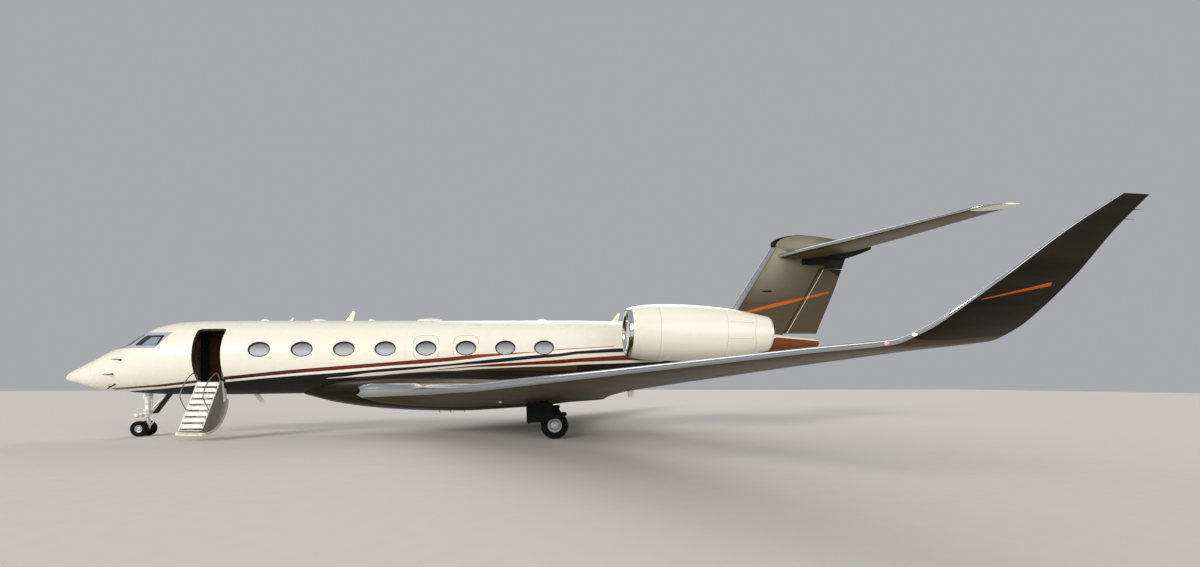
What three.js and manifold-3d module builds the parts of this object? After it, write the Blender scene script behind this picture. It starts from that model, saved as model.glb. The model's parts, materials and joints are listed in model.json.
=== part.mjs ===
// A twin-engine business jet standing on its landing gear with its airstair open.
// Millimetres, +Z up, +X aft, -Y port. Stations run aft from the nose tip; the origin is on the
// ground below the middle of the overall length.
import * as THREE from "three";
import { mergeVertices } from "three/addons/utils/BufferGeometryUtils.js";
import Module from "manifold-3d";

const wasm = await Module();
wasm.setup();

// Driving dimensions
const OVERALL_LENGTH = 30410;
const SIT = 0.014; // nose-down slope of the parked airframe
const SIT_STATION = 15000; // where level heights and parked heights agree
const GAP = 0.4; // between solids that touch
const SEAM = 10; // between a moving panel and its surround
const WALL = 100; // skin, frame and liner of the pressure cabin
const AFT_WALL = 60; // skin and frames behind it
const BULKHEAD = 150; // closes the cabin's rear end
const FLOOR_DEPTH = 100; // panel and beams
const RADOME_END = 1030;
const COCKPIT_FLOOR_START = 1900;
const COCKPIT_END = 4400;
const CABIN_JOINT = 11650;
const CABIN_END = 18000;
const TAIL_JOINT = 25500;
const TAIL_END = 27450;
const FLOOR_HEIGHT = 2075; // level height of the cabin floor's top
const WINDOW = { first: 6878, pitch: 1362, count: 8, height: 3112, wide: 711, tall: 521 };
const DOOR = { front: 4780, back: 5680, top: 134, bottom: 224, swing: 130, hingeY: -790, hingeZ: 1650 };
const STAIR_WELL = { outer: -950, inner: 260 };
const STEPS = { count: 9, front: 4990, back: 5640, topY: -1270, topZ: 1905, footY: -2310, footZ: 275 };
const ENGINE = { lip: 19170, y: 2420, z: 3600 };
const MAIN_GEAR = { x: 16750, y: 2345, twin: 245, tyre: 455, width: 300 };
const NOSE_GEAR = { x: 2430, strutX: 2560, twin: 205, tyre: 270, width: 190, top: 1640 };

// Colours and finishes seen on the real surfaces
const FINISH = {
  ivory: [0xe9e4d6, 0.25, 0.1],
  bronze: [0x35302a, 0.3, 0.5],
  champagne: [0x8a7f6c, 0.3, 0.6],
  steel: [0xa3a6a8, 0.4, 0.9],
  dark: [0x18181a, 0.6, 0.2],
  rubber: [0x17171a, 0.9, 0],
  glass: [0x20262d, 0.1, 0.2],
  shade: [0xc8cac8, 0.4, 0],
  wood: [0x5a3b22, 0.4, 0],
  white: [0xeceae2, 0.45, 0],
};

const aircraft = new THREE.Group();
const stations = new THREE.Group();
stations.position.x = -OVERALL_LENGTH / 2;
aircraft.add(stations);

function place(name, geometry, finish) {
  const [color, roughness, metalness] = FINISH[finish];
  const mesh = new THREE.Mesh(geometry, new THREE.MeshStandardMaterial({ color, roughness, metalness }));
  mesh.name = name;
  stations.add(mesh);
}

// Solids from closed meshes, and back
function solid(geometry) {
  const bare = geometry.index ? geometry.toNonIndexed() : geometry.clone();
  bare.deleteAttribute("normal");
  bare.deleteAttribute("uv");
  const merged = mergeVertices(bare, 1e-3);
  return new wasm.Manifold(
    new wasm.Mesh({
      numProp: 3,
      vertProperties: merged.attributes.position.array,
      triVerts: new Uint32Array(merged.index.array),
    }),
  );
}

function surface(body) {
  const { vertProperties, triVerts, numProp } = body.getMesh();
  const positions = new Float32Array((vertProperties.length / numProp) * 3);
  for (let i = 0; i < positions.length / 3; i++) {
    positions.set(vertProperties.subarray(i * numProp, i * numProp + 3), i * 3);
  }
  const geometry = new THREE.BufferGeometry();
  geometry.setAttribute("position", new THREE.BufferAttribute(positions, 3));
  geometry.setIndex(new THREE.BufferAttribute(new Uint32Array(triVerts), 1));
  geometry.computeVertexNormals();
  return geometry;
}

const cut = (body, ...tools) =>
  surface(tools.map(solid).reduce((rest, tool) => rest.subtract(tool), solid(body)));
const join = (...bodies) => surface(bodies.map(solid).reduce((sum, one) => sum.add(one)));
const common = (first, second) => surface(solid(first).intersect(solid(second)));

// A closed body through rings of equally many points, each end capped by a fan round its middle
function loft(rings) {
  const count = rings[0].length;
  const middle = (ring) => ring.reduce((sum, p) => sum.add(p), new THREE.Vector3()).divideScalar(count);
  const points = [...rings.flat(), middle(rings[0]), middle(rings.at(-1))];
  const faces = [];
  for (let i = 0; i < count; i++) {
    const next = (i + 1) % count;
    faces.push(points.length - 2, next, i);
    const last = (rings.length - 1) * count;
    faces.push(points.length - 1, last + i, last + next);
    for (let r = 0; r < rings.length - 1; r++) {
      const [a, b] = [r * count, (r + 1) * count];
      const across = points[a + i].distanceTo(points[b + next]);
      const other = points[a + next].distanceTo(points[b + i]);
      if (across < other) faces.push(a + i, a + next, b + next, a + i, b + next, b + i);
      else faces.push(a + i, a + next, b + i, a + next, b + next, b + i);
    }
  }
  let volume = 0;
  for (let f = 0; f < faces.length; f += 3) {
    const [p, q, s] = [points[faces[f]], points[faces[f + 1]], points[faces[f + 2]]];
    volume += p.dot(q.clone().cross(s));
  }
  if (volume < 0) faces.reverse();
  const geometry = new THREE.BufferGeometry().setFromPoints(points);
  geometry.setIndex(faces);
  geometry.computeVertexNormals();
  return geometry;
}

// A box by its low and high corners
function block(low, high) {
  const size = high.map((value, axis) => value - low[axis]);
  const middle = high.map((value, axis) => (value + low[axis]) / 2);
  return new THREE.BoxGeometry(...size).translate(...middle);
}

// A flat outline of [x, z] points, extruded across from y = from to y = to
function plate(outline, from, to) {
  const shape = new THREE.Shape(outline.map(([x, z]) => new THREE.Vector2(x, z)));
  const geometry = new THREE.ExtrudeGeometry(shape, { depth: to - from, bevelEnabled: false });
  return geometry.rotateX(Math.PI / 2).translate(0, to, 0);
}

// A round bar between two points
function bar(from, to, radius, sides = 12) {
  const [a, b] = [new THREE.Vector3(...from), new THREE.Vector3(...to)];
  const along = b.clone().sub(a);
  const geometry = new THREE.CylinderGeometry(radius, radius, along.length(), sides);
  const turn = new THREE.Quaternion().setFromUnitVectors(new THREE.Vector3(0, 1, 0), along.normalize());
  return geometry.applyQuaternion(turn).translate(...a.add(b).divideScalar(2).toArray());
}

// A body turned about a line along Y (profile of [radius, y]) or along X (profile of [radius, x])
function turned(profile, sides) {
  const points = profile.map(([radius, along]) => new THREE.Vector2(radius, along));
  return mergeVertices(new THREE.LatheGeometry(points, sides));
}
const turnedAlongX = (profile, sides) =>
  turned(profile, sides).rotateZ(-Math.PI / 2).rotateX(Math.PI / sides);

// The mirror image of a port-side body
function mirrored(geometry) {
  const flat = (geometry.index ? geometry.clone() : mergeVertices(geometry)).scale(1, -1, 1);
  return flat.setIndex(Array.from(flat.index.array).reverse());
}

// A pair of nodes, port as given and starboard as its mirror image
function placePair(name, geometry, finish) {
  place(name + "_left", geometry, finish);
  place(name + "_right", mirrored(geometry), finish);
}

// How far a station lies above its level height once the airframe is parked
const sit = (station) => (station - SIT_STATION) * SIT;

// Level heights become parked heights, and back
function raised(geometry, share) {
  const position = geometry.attributes.position;
  for (let i = 0; i < position.count; i++) {
    position.setZ(i, position.getZ(i) + share * sit(position.getX(i)));
  }
  return geometry;
}
const settled = (geometry) => raised(geometry, 1);
const level = (geometry) => raised(geometry, -1);

// Fuselage lines, level: station, crown, keel and half width
const HULL = [
  [0, 2236, 2186, 25],
  [120, 2425, 2135, 150],
  [400, 2570, 2060, 310],
  [1030, 2880, 1866, 610],
  [1660, 3210, 1780, 840],
  [2150, 3415, 1722, 980],
  [2700, 3770, 1672, 1105],
  [3300, 4055, 1636, 1220],
  [3900, 4166, 1618, 1305],
  [4750, 4205, 1600, 1360],
  [6200, 4220, 1593, 1376],
  [17500, 4215, 1593, 1376],
  [19000, 4180, 1640, 1350],
  [20700, 4120, 1850, 1240],
  [22400, 4040, 2200, 1020],
  [24000, 3900, 2590, 740],
  [25500, 3700, 2910, 470],
  [26700, 3540, 3080, 270],
  [27450, 3440, 3170, 130],
];

// The hull's crown, keel and half width at any station, by straight lines between the table's rows
function hullAt(station) {
  const after = Math.min(Math.max(HULL.findIndex(([x]) => x >= station), 1), HULL.length - 1);
  const [low, high] = [HULL[after - 1], HULL[after]];
  const share = (station - low[0]) / (high[0] - low[0]);
  const [crown, keel, half] = [1, 2, 3].map((column) => low[column] + share * (high[column] - low[column]));
  return { crown, keel, half, waist: (crown + keel) / 2 };
}

const HULL_SIDES = 32;
function hullRing(station, grow = 0) {
  const { crown, keel, half, waist } = hullAt(station);
  return Array.from({ length: HULL_SIDES }, (_, i) => {
    const angle = (2 * Math.PI * (i + 0.5)) / HULL_SIDES;
    const height = waist + ((crown - keel) / 2 + grow) * Math.sin(angle);
    return new THREE.Vector3(station, (half + grow) * Math.cos(angle), height);
  });
}

// The stretch of hull between two stations, thicker or thinner all round by grow
function hull(from, to, grow = 0) {
  const inside = HULL.map(([station]) => station).filter((station) => station > from && station < to);
  return settled(loft([from, ...inside, to].map((station) => hullRing(station, grow))));
}

// An upright oval bar through both sides of the cabin, for one window
function windowCutter(index, ease, from, to) {
  const station = WINDOW.first + index * WINDOW.pitch;
  const oval = new THREE.CylinderGeometry(1, 1, to - from, 14);
  oval.scale(WINDOW.wide / 2 - ease, 1, WINDOW.tall / 2 - ease);
  return oval.translate(station, (from + to) / 2, WINDOW.height + sit(station));
}

// A wedge of the hull's section between two angles (0 is starboard, 90 is up), for the doorway
function doorwayWedge(from, to, ease) {
  const reach = 1700;
  const centre = hullAt(5200).waist + sit(5200);
  const slant = (angle) => [Math.cos, Math.sin].map((turn) => reach * turn((angle * Math.PI) / 180));
  const bend = (ease / 1350) * (180 / Math.PI);
  const angles = [DOOR.top + bend, 165, 195, DOOR.bottom - bend];
  const ring = (station) => [
    new THREE.Vector3(station, -300, centre),
    ...angles.map((angle) => new THREE.Vector3(station, slant(angle)[0], centre + slant(angle)[1])),
  ];
  return loft([ring(from + ease), ring(to - ease)]);
}

// Cockpit glass outlines: side panes as [station, height], front panes as [y, height]
const SIDE_GLASS = [[2795, 3117], [3077, 3464], [3794, 3471], [3670, 3117]];
const FRONT_GLASS = [[-45, 3010], [-45, 3570], [-540, 3550], [-746, 3486], [-870, 3145], [-600, 3045]];

function shrunk(outline, ease) {
  const middle = [0, 1].map((axis) => outline.reduce((sum, p) => sum + p[axis], 0) / outline.length);
  return outline.map((p) => p.map((value, axis) => {
    const offset = value - middle[axis];
    return middle[axis] + offset - Math.sign(offset) * ease;
  }));
}

const sideGlassCutter = (ease) => plate(shrunk(SIDE_GLASS, ease), -1500, -500);
function frontGlassCutter(ease) {
  const outline = shrunk(FRONT_GLASS, ease);
  const ring = (station) => outline.map(([y, z]) => new THREE.Vector3(station, y, z));
  return loft([ring(1250), ring(3020)]);
}

function buildFuselage() {
  place("nose_radome", hull(0, RADOME_END - GAP), "ivory");
  const [side, front] = [sideGlassCutter(0), frontGlassCutter(0)];
  // Under its floor the cockpit is full, with the nose gear's bay and the equipment round it
  const equipment = settled(block([0, -2000, 0], [4300, 2000, FLOOR_HEIGHT - FLOOR_DEPTH - 20]));
  const cockpit = cut(
    hull(RADOME_END, COCKPIT_END - GAP),
    cut(hull(COCKPIT_FLOOR_START, COCKPIT_END + 1, -WALL), equipment),
    side, mirrored(side), front, mirrored(front),
    noseBayCutter(),
  );
  place("cockpit_shell", join(cockpit, jackPad(3900, 0, 1435, 1500)), "ivory");
  const openings = Array.from({ length: WINDOW.count }, (_, i) => windowCutter(i, 0, -1500, 1500));
  const ahead = openings.filter((_, i) => WINDOW.first + i * WINDOW.pitch < CABIN_JOINT);
  const behind = openings.slice(ahead.length);
  place("cabin_shell_forward", cut(
    hull(COCKPIT_END, CABIN_JOINT - GAP),
    hull(COCKPIT_END - 1, CABIN_JOINT + 1, -WALL),
    doorwayWedge(DOOR.front, DOOR.back, 0), ...ahead,
  ), "ivory");
  place("cabin_shell_aft", cut(
    hull(CABIN_JOINT, CABIN_END - GAP),
    hull(CABIN_JOINT - 1, CABIN_END + 1, -WALL),
    ...behind,
  ), "ivory");
  const hollow = hull(CABIN_END + BULKHEAD, TAIL_JOINT + 1, -AFT_WALL);
  place("aft_fuselage", cut(hull(CABIN_END, TAIL_JOINT - GAP), hollow), "ivory");
  place("tail_cone", hull(TAIL_JOINT, TAIL_END), "bronze");
}

// Panes of glass in the hull's own curve, each inside its opening
function buildCockpitGlass() {
  const band = cut(hull(1300, 3900, -4), hull(1200, 4000, -34));
  placePair("windshield", common(band, frontGlassCutter(4)), "glass");
  placePair("side_window", common(band, sideGlassCutter(4)), "glass");
}

// Eight panes a side, joined by the liner strip behind them
function buildCabinWindows() {
  const [from, to] = [6300, 16900];
  const strip = cut(hull(from, to, -WALL - 1), hull(from - 1, to + 1, -WALL - 12));
  const [low, high] = [WINDOW.height - 330, WINDOW.height + 330];
  const span = settled(block([from - 10, -1500, low], [to + 10, -900, high]));
  const panes = cut(hull(from, to, -6), hull(from - 1, to + 1, -WALL - 6));
  const ovals = Array.from({ length: WINDOW.count }, (_, i) => windowCutter(i, 3, -1500, -900));
  placePair("cabin_windows", join(common(strip, span), common(panes, join(...ovals))), "shade");
}

// Flat floor with the stair well beside the door, the instrument panel and the entry cabinet
function buildInterior() {
  const reach = 950;
  const outline = block([COCKPIT_FLOOR_START + 60, -reach, FLOOR_HEIGHT - FLOOR_DEPTH],
    [CABIN_END - 100, reach, FLOOR_HEIGHT]);
  const well = block([DOOR.front - 30, STAIR_WELL.outer - 1, FLOOR_HEIGHT - 200],
    [DOOR.back + 30, STAIR_WELL.inner, FLOOR_HEIGHT + 10]);
  const deck = common(outline, level(hull(1800, CABIN_END, -WALL - 10)));
  place("cabin_floor", cut(settled(deck), settled(well)), "wood");
  const panel = block([2150, -760, FLOOR_HEIGHT + 2], [2450, 760, 3050]);
  place("instrument_panel", common(settled(panel), hull(1900, 3000, -WALL - 40)), "dark");
  const cabinet = block([COCKPIT_END + 60, 330, FLOOR_HEIGHT + 2], [5100, 1300, 4150]);
  place("entry_cabinet", common(settled(cabinet), hull(4000, 7000, -WALL - 20)), "wood");
  const wall = block([COCKPIT_END + 10, -1350, FLOOR_HEIGHT + 2], [COCKPIT_END + 50, 1350, 4150]);
  const passage = block([COCKPIT_END, -300, FLOOR_HEIGHT - 10], [COCKPIT_END + 60, 300, FLOOR_HEIGHT + 1750]);
  const bulkhead = common(settled(wall), hull(4000, 7000, -WALL - 20));
  place("cockpit_bulkhead", cut(bulkhead, settled(passage)), "wood");
}
// Belly fairing, parked: station, keel, half width and how high its flank stands
const FAIRING = [
  [7900, 1440, 350, 1600],
  [9000, 1165, 900, 1680],
  [10410, 965, 1230, 1800],
  [11900, 865, 1420, 1900],
  [13300, 835, 1480, 1950],
  [14800, 905, 1490, 1950],
  [16300, 1010, 1470, 1950],
  [17500, 1160, 1380, 1950],
  [18700, 1400, 1150, 1930],
  [19900, 1690, 500, 1900],
];

function fairing(grow = 0) {
  const sides = 20;
  return loft(FAIRING.map(([station, keel, half, flank]) =>
    Array.from({ length: sides }, (_, i) => {
      const angle = (2 * Math.PI * (i + 0.5)) / sides;
      const [across, up] = [Math.cos(angle), Math.sin(angle)];
      const rise = up > 0 ? 500 : flank - keel + grow;
      const square = 0.75; // below one, the section is fuller than an ellipse
      const y = (half + grow) * Math.sign(across) * Math.abs(across) ** square;
      return new THREE.Vector3(station, y, flank + rise * Math.sign(up) * Math.abs(up) ** square);
    })));
}

// Wing lines, parked: distance from the centreline, leading edge station and height, chord,
// nose-up angle in degrees and thickness share
const WING = [
  [1300, 9930, 1600, 8620, 2.0, 0.105],
  [1750, 11050, 1640, 7560, 2.0, 0.115],
  [2500, 12230, 1665, 6420, 1.9, 0.12],
  [5400, 14340, 1735, 4410, 1.2, 0.1],
  [9700, 17465, 2055, 2895, 0.2, 0.085],
  [13200, 20010, 2327, 1660, -0.8, 0.088],
  [14100, 20660, 2382, 1400, -1.2, 0.092],
];
// The winglet as it curves up: y, leading edge station and height, chord, cant of the section
const WINGLET = [
  [14400, 20930, 2540, 1270, 22],
  [14640, 21200, 2790, 1130, 46],
  [14850, 21640, 3170, 920, 64],
  [15016, 22200, 3630, 630, 72],
  [15161, 22750, 4010, 360, 74],
];

// One wing section: a ring of points from the trailing edge over the top and back underneath
function aerofoil(chord, share) {
  const top = [1, 0.85, 0.65, 0.45, 0.27, 0.13, 0.045, 0.008];
  const half = (x) => 5 * share * (0.2969 * Math.sqrt(x) - 0.126 * x - 0.3516 * x * x
    + 0.2843 * x ** 3 - 0.1015 * x ** 4) + 0.0015;
  return [
    ...top.map((x) => [x * chord, half(x) * chord]),
    ...top.slice().reverse().map((x) => [x * chord, -half(x) * chord]),
  ];
}

// A port-side surface through sections; cant leans a section from upright towards flat
function wingRing([y, lead, height, chord, angle, share, cant = 0], grow = 0) {
  const [twist, lean] = [(angle * Math.PI) / 180, (cant * Math.PI) / 180];
  return aerofoil(chord, share).map(([x, z]) => {
    const along = x * Math.cos(twist) + z * Math.sin(twist);
    const rise = z * Math.cos(twist) - x * Math.sin(twist) + Math.sign(z) * grow;
    return new THREE.Vector3(lead + along, -y + rise * Math.sin(lean), height + rise * Math.cos(lean));
  });
}

function wing(grow = 0) {
  const curved = WINGLET.map(([y, lead, height, chord, cant]) => [y, lead, height, chord, -1, 0.09, cant]);
  return loft([...WING, ...curved].map((row) => wingRing(row, grow)));
}

// A plan-view quadrilateral [x, y] made a tall block, for cutting control surfaces out of a wing
function planBlock(outline, low, high) {
  const ring = (z) => outline.map(([x, y]) => new THREE.Vector3(x, y, z));
  return loft([ring(low), ring(high)]);
}

// Trailing edge and chord of the wing at a distance out, by straight lines between the table's rows
function wingAt(y) {
  const after = Math.max(WING.findIndex((row) => row[0] >= y), 1);
  const [low, high] = [WING[after - 1], WING[after]];
  const share = (y - low[0]) / (high[0] - low[0]);
  const at = (column) => low[column] + share * (high[column] - low[column]);
  return { lead: at(1), height: at(2), chord: at(3), angle: (at(4) * Math.PI) / 180, thick: at(5) };
}
const FLAP = { inner: 2000, outer: 9650, share: 0.76 };
const AILERON = { inner: 9900, outer: 13500, share: 0.74 };

// The block over a control surface, from its front line to behind the trailing edge
const WING_KINK = 5400; // where the trailing edge turns
function panelBlock({ inner, outer, share }, ahead, beside) {
  const [near, far] = [inner - beside, outer + beside];
  const behind = 900;
  const front = (y) => [wingAt(y).lead + wingAt(y).chord * share - ahead, -y];
  const back = (y) => [wingAt(y).lead + wingAt(y).chord + behind, -y];
  const fronts = near < WING_KINK && far > WING_KINK ? [near, WING_KINK, far] : [near, far];
  return planBlock([...fronts.map(front), back(far), back(near)], 500, 3500);
}

// A control surface of its own: a half-round nose on the hinge line and straight sides to the edge
function controlSurface(sections) {
  return loft(sections.map(({ hinge, edge, radius, across }) => {
    const chordwise = edge.clone().sub(hinge).normalize();
    const steps = 7;
    const nose = Array.from({ length: steps }, (_, i) => {
      const angle = Math.PI / 2 + (Math.PI * i) / (steps - 1);
      return hinge.clone()
        .addScaledVector(chordwise, radius * Math.cos(angle))
        .addScaledVector(across, radius * Math.sin(angle));
    });
    const lip = 4;
    return [edge.clone().addScaledVector(across, lip), ...nose, edge.clone().addScaledVector(across, -lip)];
  }));
}

const UP = new THREE.Vector3(0, 0, 1);
function aileron() {
  return controlSurface([AILERON.inner, AILERON.outer].map((y) => {
    const { lead, height, chord, angle } = wingAt(y);
    const at = (share) => new THREE.Vector3(
      lead + chord * share * Math.cos(angle), -y, height - chord * share * Math.sin(angle));
    return { hinge: at(AILERON.share + 0.032), edge: at(0.995), radius: chord * 0.0225, across: UP };
  }));
}

// A jacking pad: a round boss with a flat underside
const jackPad = (x, y, low, high) => bar([x, y, low], [x, y, high], 60, 16);

function buildWings() {
  const body = cut(
    wing(),
    panelBlock(FLAP, 12, 6), panelBlock(AILERON, 12, 27),
    fairing(1), hull(7000, 21000, 1),
    legBay(),
  );
  placePair("wing", join(body, jackPad(15000, -3200, 1235, 1400)), "champagne");
  const flap = cut(common(wing(), panelBlock(FLAP, 0, 0)), fairing(30), hull(7000, 21000, 30));
  placePair("flap", flap, "champagne");
  placePair("aileron", aileron(), "champagne");
  place("belly_fairing", cut(fairing(), hull(7000, 21000, 1)), "bronze");
}

// Fin sections: height, leading edge, chord, thickness share
const FIN = [
  [3400, 22930, 4300, 0.1],
  [4000, 23320, 4130, 0.1],
  [5600, 24365, 3790, 0.1],
  [7250, 25440, 3330, 0.1],
];
const RUDDER = { bottom: 3860, top: 6480, lowShare: 0.655, highShare: 0.715 };
const rudderShare = (height) => RUDDER.lowShare
  + ((height - RUDDER.bottom) / (RUDDER.top - RUDDER.bottom)) * (RUDDER.highShare - RUDDER.lowShare);

function finRing([height, lead, chord, share], grow = 0) {
  return aerofoil(chord, share).map(([x, half]) =>
    new THREE.Vector3(lead + x, half + Math.sign(half) * grow, height));
}
function finAt(height) {
  const after = Math.max(FIN.findIndex((row) => row[0] >= height), 1);
  const [low, high] = [FIN[after - 1], FIN[after]];
  const share = (height - low[0]) / (high[0] - low[0]);
  return { lead: low[1] + share * (high[1] - low[1]), chord: low[2] + share * (high[2] - low[2]) };
}

// The bullet on the fin's top: station, low, high, half width
const BULLET = [
  [25480, 7330, 7500, 40],
  [25700, 7100, 7640, 130],
  [26100, 6950, 7770, 210],
  [26650, 6880, 7835, 255],
  [27500, 6850, 7790, 265],
  [28300, 6860, 7690, 240],
  [29000, 7040, 7610, 170],
  [29740, 7330, 7520, 70],
];
function bullet(grow = 0) {
  const sides = 20;
  return loft(BULLET.map(([station, low, high, half]) =>
    Array.from({ length: sides }, (_, i) => {
      const angle = (2 * Math.PI * i) / sides;
      const height = (high + low) / 2 + ((high - low) / 2 + grow) * Math.sin(angle);
      return new THREE.Vector3(station, (half + grow) * Math.cos(angle), height);
    })));
}

function buildFin() {
  const rudderSection = (height) => {
    const { lead, chord } = finAt(height);
    return {
      hinge: new THREE.Vector3(lead + chord * (rudderShare(height) + 0.033), 0, height),
      edge: new THREE.Vector3(lead + chord, 0, height),
      radius: chord * 0.031,
      across: new THREE.Vector3(0, 1, 0),
    };
  };
  const [low, high] = [RUDDER.bottom, RUDDER.top];
  const room = 36; // between the hinge line's nose and the fin's rear wall
  const frontAt = (height) => finAt(height).lead + finAt(height).chord * rudderShare(height) - room;
  const headroom = 46; // the swung rudder's top edge rises by half of this
  const bay = plate([[frontAt(3000), 3000], [29500, 3000], [29500, high + headroom + 50],
    [frontAt(high + headroom), high + headroom]], -400, 400);
  place("fin", cut(loft(FIN.map((row) => finRing(row))), bay, hull(20000, TAIL_END, 1), bullet(1)), "bronze");
  const trim = plate([[25000, low - 200], [29500, low - 200], [29500, low - 60], [25500, low - 20]],
    -500, 500);
  const blade = controlSurface([low, high].map(rudderSection));
  place("rudder", cut(blade, hull(20000, TAIL_END, 25), trim), "bronze");
  place("tail_bullet", bullet(), "bronze");
}

// Stabilizer sections: distance out, leading edge station and height, chord, nose-down angle, thickness
const STABILIZER = [
  [100, 25640, 6915, 3060, -4.6, 0.1],
  [5750, 29130, 7125, 1180, -2.6, 0.1],
  [6000, 29420, 7150, 960, -2, 0.09],
  [6200, 29880, 7170, 530, -1.5, 0.08],
];
const ELEVATOR = { inner: 340, outer: 5700, share: 0.7 };

function stabilizerAt(y) {
  const [low, high] = STABILIZER;
  const share = (y - low[0]) / (high[0] - low[0]);
  const at = (column) => low[column] + share * (high[column] - low[column]);
  return { lead: at(1), height: at(2), chord: at(3), angle: (at(4) * Math.PI) / 180 };
}

function buildStabilizer() {
  const at = (y, share) => {
    const { lead, height, chord, angle } = stabilizerAt(y);
    const back = chord * share;
    return new THREE.Vector3(lead + back * Math.cos(angle), -y, height - back * Math.sin(angle));
  };
  const { inner, outer, share } = ELEVATOR;
  const [room, behind] = [12, 31500];
  const front = (y) => at(y, share).x - room;
  const end = outer + room;
  const bay = planBlock([[front(0), 0], [front(end), -end], [behind, -end], [behind, 0]], 6000, 8000);
  const blank = loft(STABILIZER.map((row) => wingRing(row)));
  placePair("stabilizer", cut(blank, bay, bullet(1), loft(FIN.map((row) => finRing(row, 1)))), "champagne");
  const blade = controlSurface([inner, outer].map((y) => ({
    hinge: at(y, share + 0.028), edge: at(y, 0.995), radius: stabilizerAt(y).chord * 0.026, across: UP,
  })));
  placePair("elevator", cut(blade, bullet(30)), "champagne");
}

const NACELLE_SIDES = 28;
// Nacelle: outer skin and inner duct as one ring, with the lip rounded between them
const NACELLE = [
  [650, 1150], [640, 500], [665, 130], [710, 12], [750, 0], [790, 20], [850, 150],
  [930, 550], [968, 1150], [975, 1900], [945, 2650], [860, 3600], [740, 4350], [600, 5060],
  [570, 5100], [600, 4500], [650, 3900],
];
// Engine inside the duct: nose, front frame that reaches the duct, core, nozzle and tail cone
const CORE = [
  [0, 1350], [80, 1370], [160, 1450], [640, 1452], [640, 1640], [450, 1660], [450, 3900], [430, 4300],
  [390, 4520], [300, 4640], [170, 5000], [0, 5180],
];

function buildEngines() {
  const at = (geometry) => geometry.translate(ENGINE.lip, -ENGINE.y, ENGINE.z);
  placePair("nacelle", at(turnedAlongX([...NACELLE, NACELLE[0]], NACELLE_SIDES)), "ivory");
  placePair("engine_core", at(turnedAlongX(CORE, 24)), "steel");
  placePair("fan", at(fan()), "steel");
  const cowl = NACELLE.filter(([radius, along]) => radius >= 600 && along <= 5060).slice(4, 14);
  const outer = at(turnedAlongX([[0, -1], ...cowl.map(([radius, along]) => [radius + 2, along]), [0, 5061]],
    NACELLE_SIDES));
  const pylonRing = (y) => aerofoil(3500, 0.085).map(([x, z]) =>
    new THREE.Vector3(20700 + x, y, ENGINE.z - 40 + z));
  const pylon = cut(loft([pylonRing(-600), pylonRing(-2100)]), hull(18500, 25200, 1), outer);
  placePair("pylon", common(pylon, block([20000, -1800, 3000], [25000, -700, 4200])), "ivory");
}

// Fan disc with its spinner and broad blades
function fan() {
  const hub = turnedAlongX([[0, 720], [60, 745], [130, 860], [180, 1020], [180, 1150], [0, 1150]], 16);
  const blades = Array.from({ length: 14 }, (_, i) => {
    const blade = new THREE.BoxGeometry(12, 455, 150).rotateY(0.9);
    return blade.translate(1070, 170 + 227, 0).rotateX((2 * Math.PI * i) / 14);
  });
  return join(hub, ...blades);
}

const WHEEL_SIDES = 24;

// Tyre section turned about the axle line, and its rim seat
function tyre(radius, width, rim) {
  const [half, shoulder] = [width / 2, radius - width * 0.16];
  return turned([
    [rim, -half * 0.8], [(rim + shoulder) / 2, -half], [shoulder, -half * 0.88], [radius, -half * 0.5],
    [radius, half * 0.5], [shoulder, half * 0.88], [(rim + shoulder) / 2, half], [rim, half * 0.8],
    [rim, -half * 0.8],
  ], WHEEL_SIDES);
}

// Two rims on one axle shaft, about the axle line
function twinHub({ twin, width, rim, shaft }) {
  const half = width * 0.34;
  const side = [
    [shaft, twin - half], [rim - GAP, twin - half], [rim - GAP, twin + half],
    [rim * 0.9, twin + half], [rim * 0.86, twin + half * 0.45], [rim * 0.4, twin + half * 0.5],
    [rim * 0.3, twin + half * 0.9], [0, twin + half * 0.9],
  ];
  const other = side.map(([radius, along]) => [radius, -along]).reverse();
  return turned([...other, ...side], WHEEL_SIDES);
}

function buildMainGear() {
  const { x, y, twin, tyre: radius, width } = MAIN_GEAR;
  const rim = 235;
  const onAxle = (geometry, across) => geometry.translate(x, -y + across, radius);
  placePair("main_tyre_outer", onAxle(tyre(radius, width, rim), -twin), "rubber");
  placePair("main_tyre_inner", onAxle(tyre(radius, width, rim), twin), "rubber");
  placePair("main_wheels", onAxle(twinHub({ twin, width, rim, shaft: 62 }), 0), "steel");
  const [legX, knee] = [x - 430, 620];
  const leg = join(
    bar([legX + 20, -y, 1700], [legX, -y, knee - 40], 85, 16),
    bar([legX, -y - 80, knee], [legX, -y + 80, knee], 95, 16),
    bar([legX - 10, -y, knee], [x + 120, -y, radius + 20], 72, 14),
    bar([x, -y - 66, radius], [x, -y + 66, radius], 120, 20),
    bar([x + 20, -y, radius + 90], [legX + 120, -y, 1330], 60, 14),
    bar([legX - 460, -y, 1560], [legX - 20, -y, 1000], 45, 10),
  );
  const bearing = bar([x, -y - 500, radius], [x, -y + 500, radius], 67, 24);
  placePair("main_leg", common(cut(leg, bearing, legRoof()), legBayRoom()), "dark");
  const panel = plate([[15810, 1240], [16690, 1210], [16690, 880], [15890, 510], [15830, 560]],
    -y - 440, -y - 415);
  const stay = bar([legX - 40, -y - 430, 960], [legX - 40, -y - 10, 960], 26, 8);
  const strut = bar([legX + 20, -y, 1700], [legX, -y, knee - 40], 85 + GAP, 16);
  placePair("main_gear_door", cut(join(panel, stay), strut), "dark");
}

// What is taken out of the wing so that the leg's head sits in it, and where the leg may be
const legBay = () => block([15350, -2640, 900], [16640, -2050, 1750]);
const legBayRoom = () => block([15352, -2600, 0], [17400, -2052, 1748]);
const legRoof = () => block([14000, -3000, 1748], [18000, -1000, 2200]);

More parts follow.
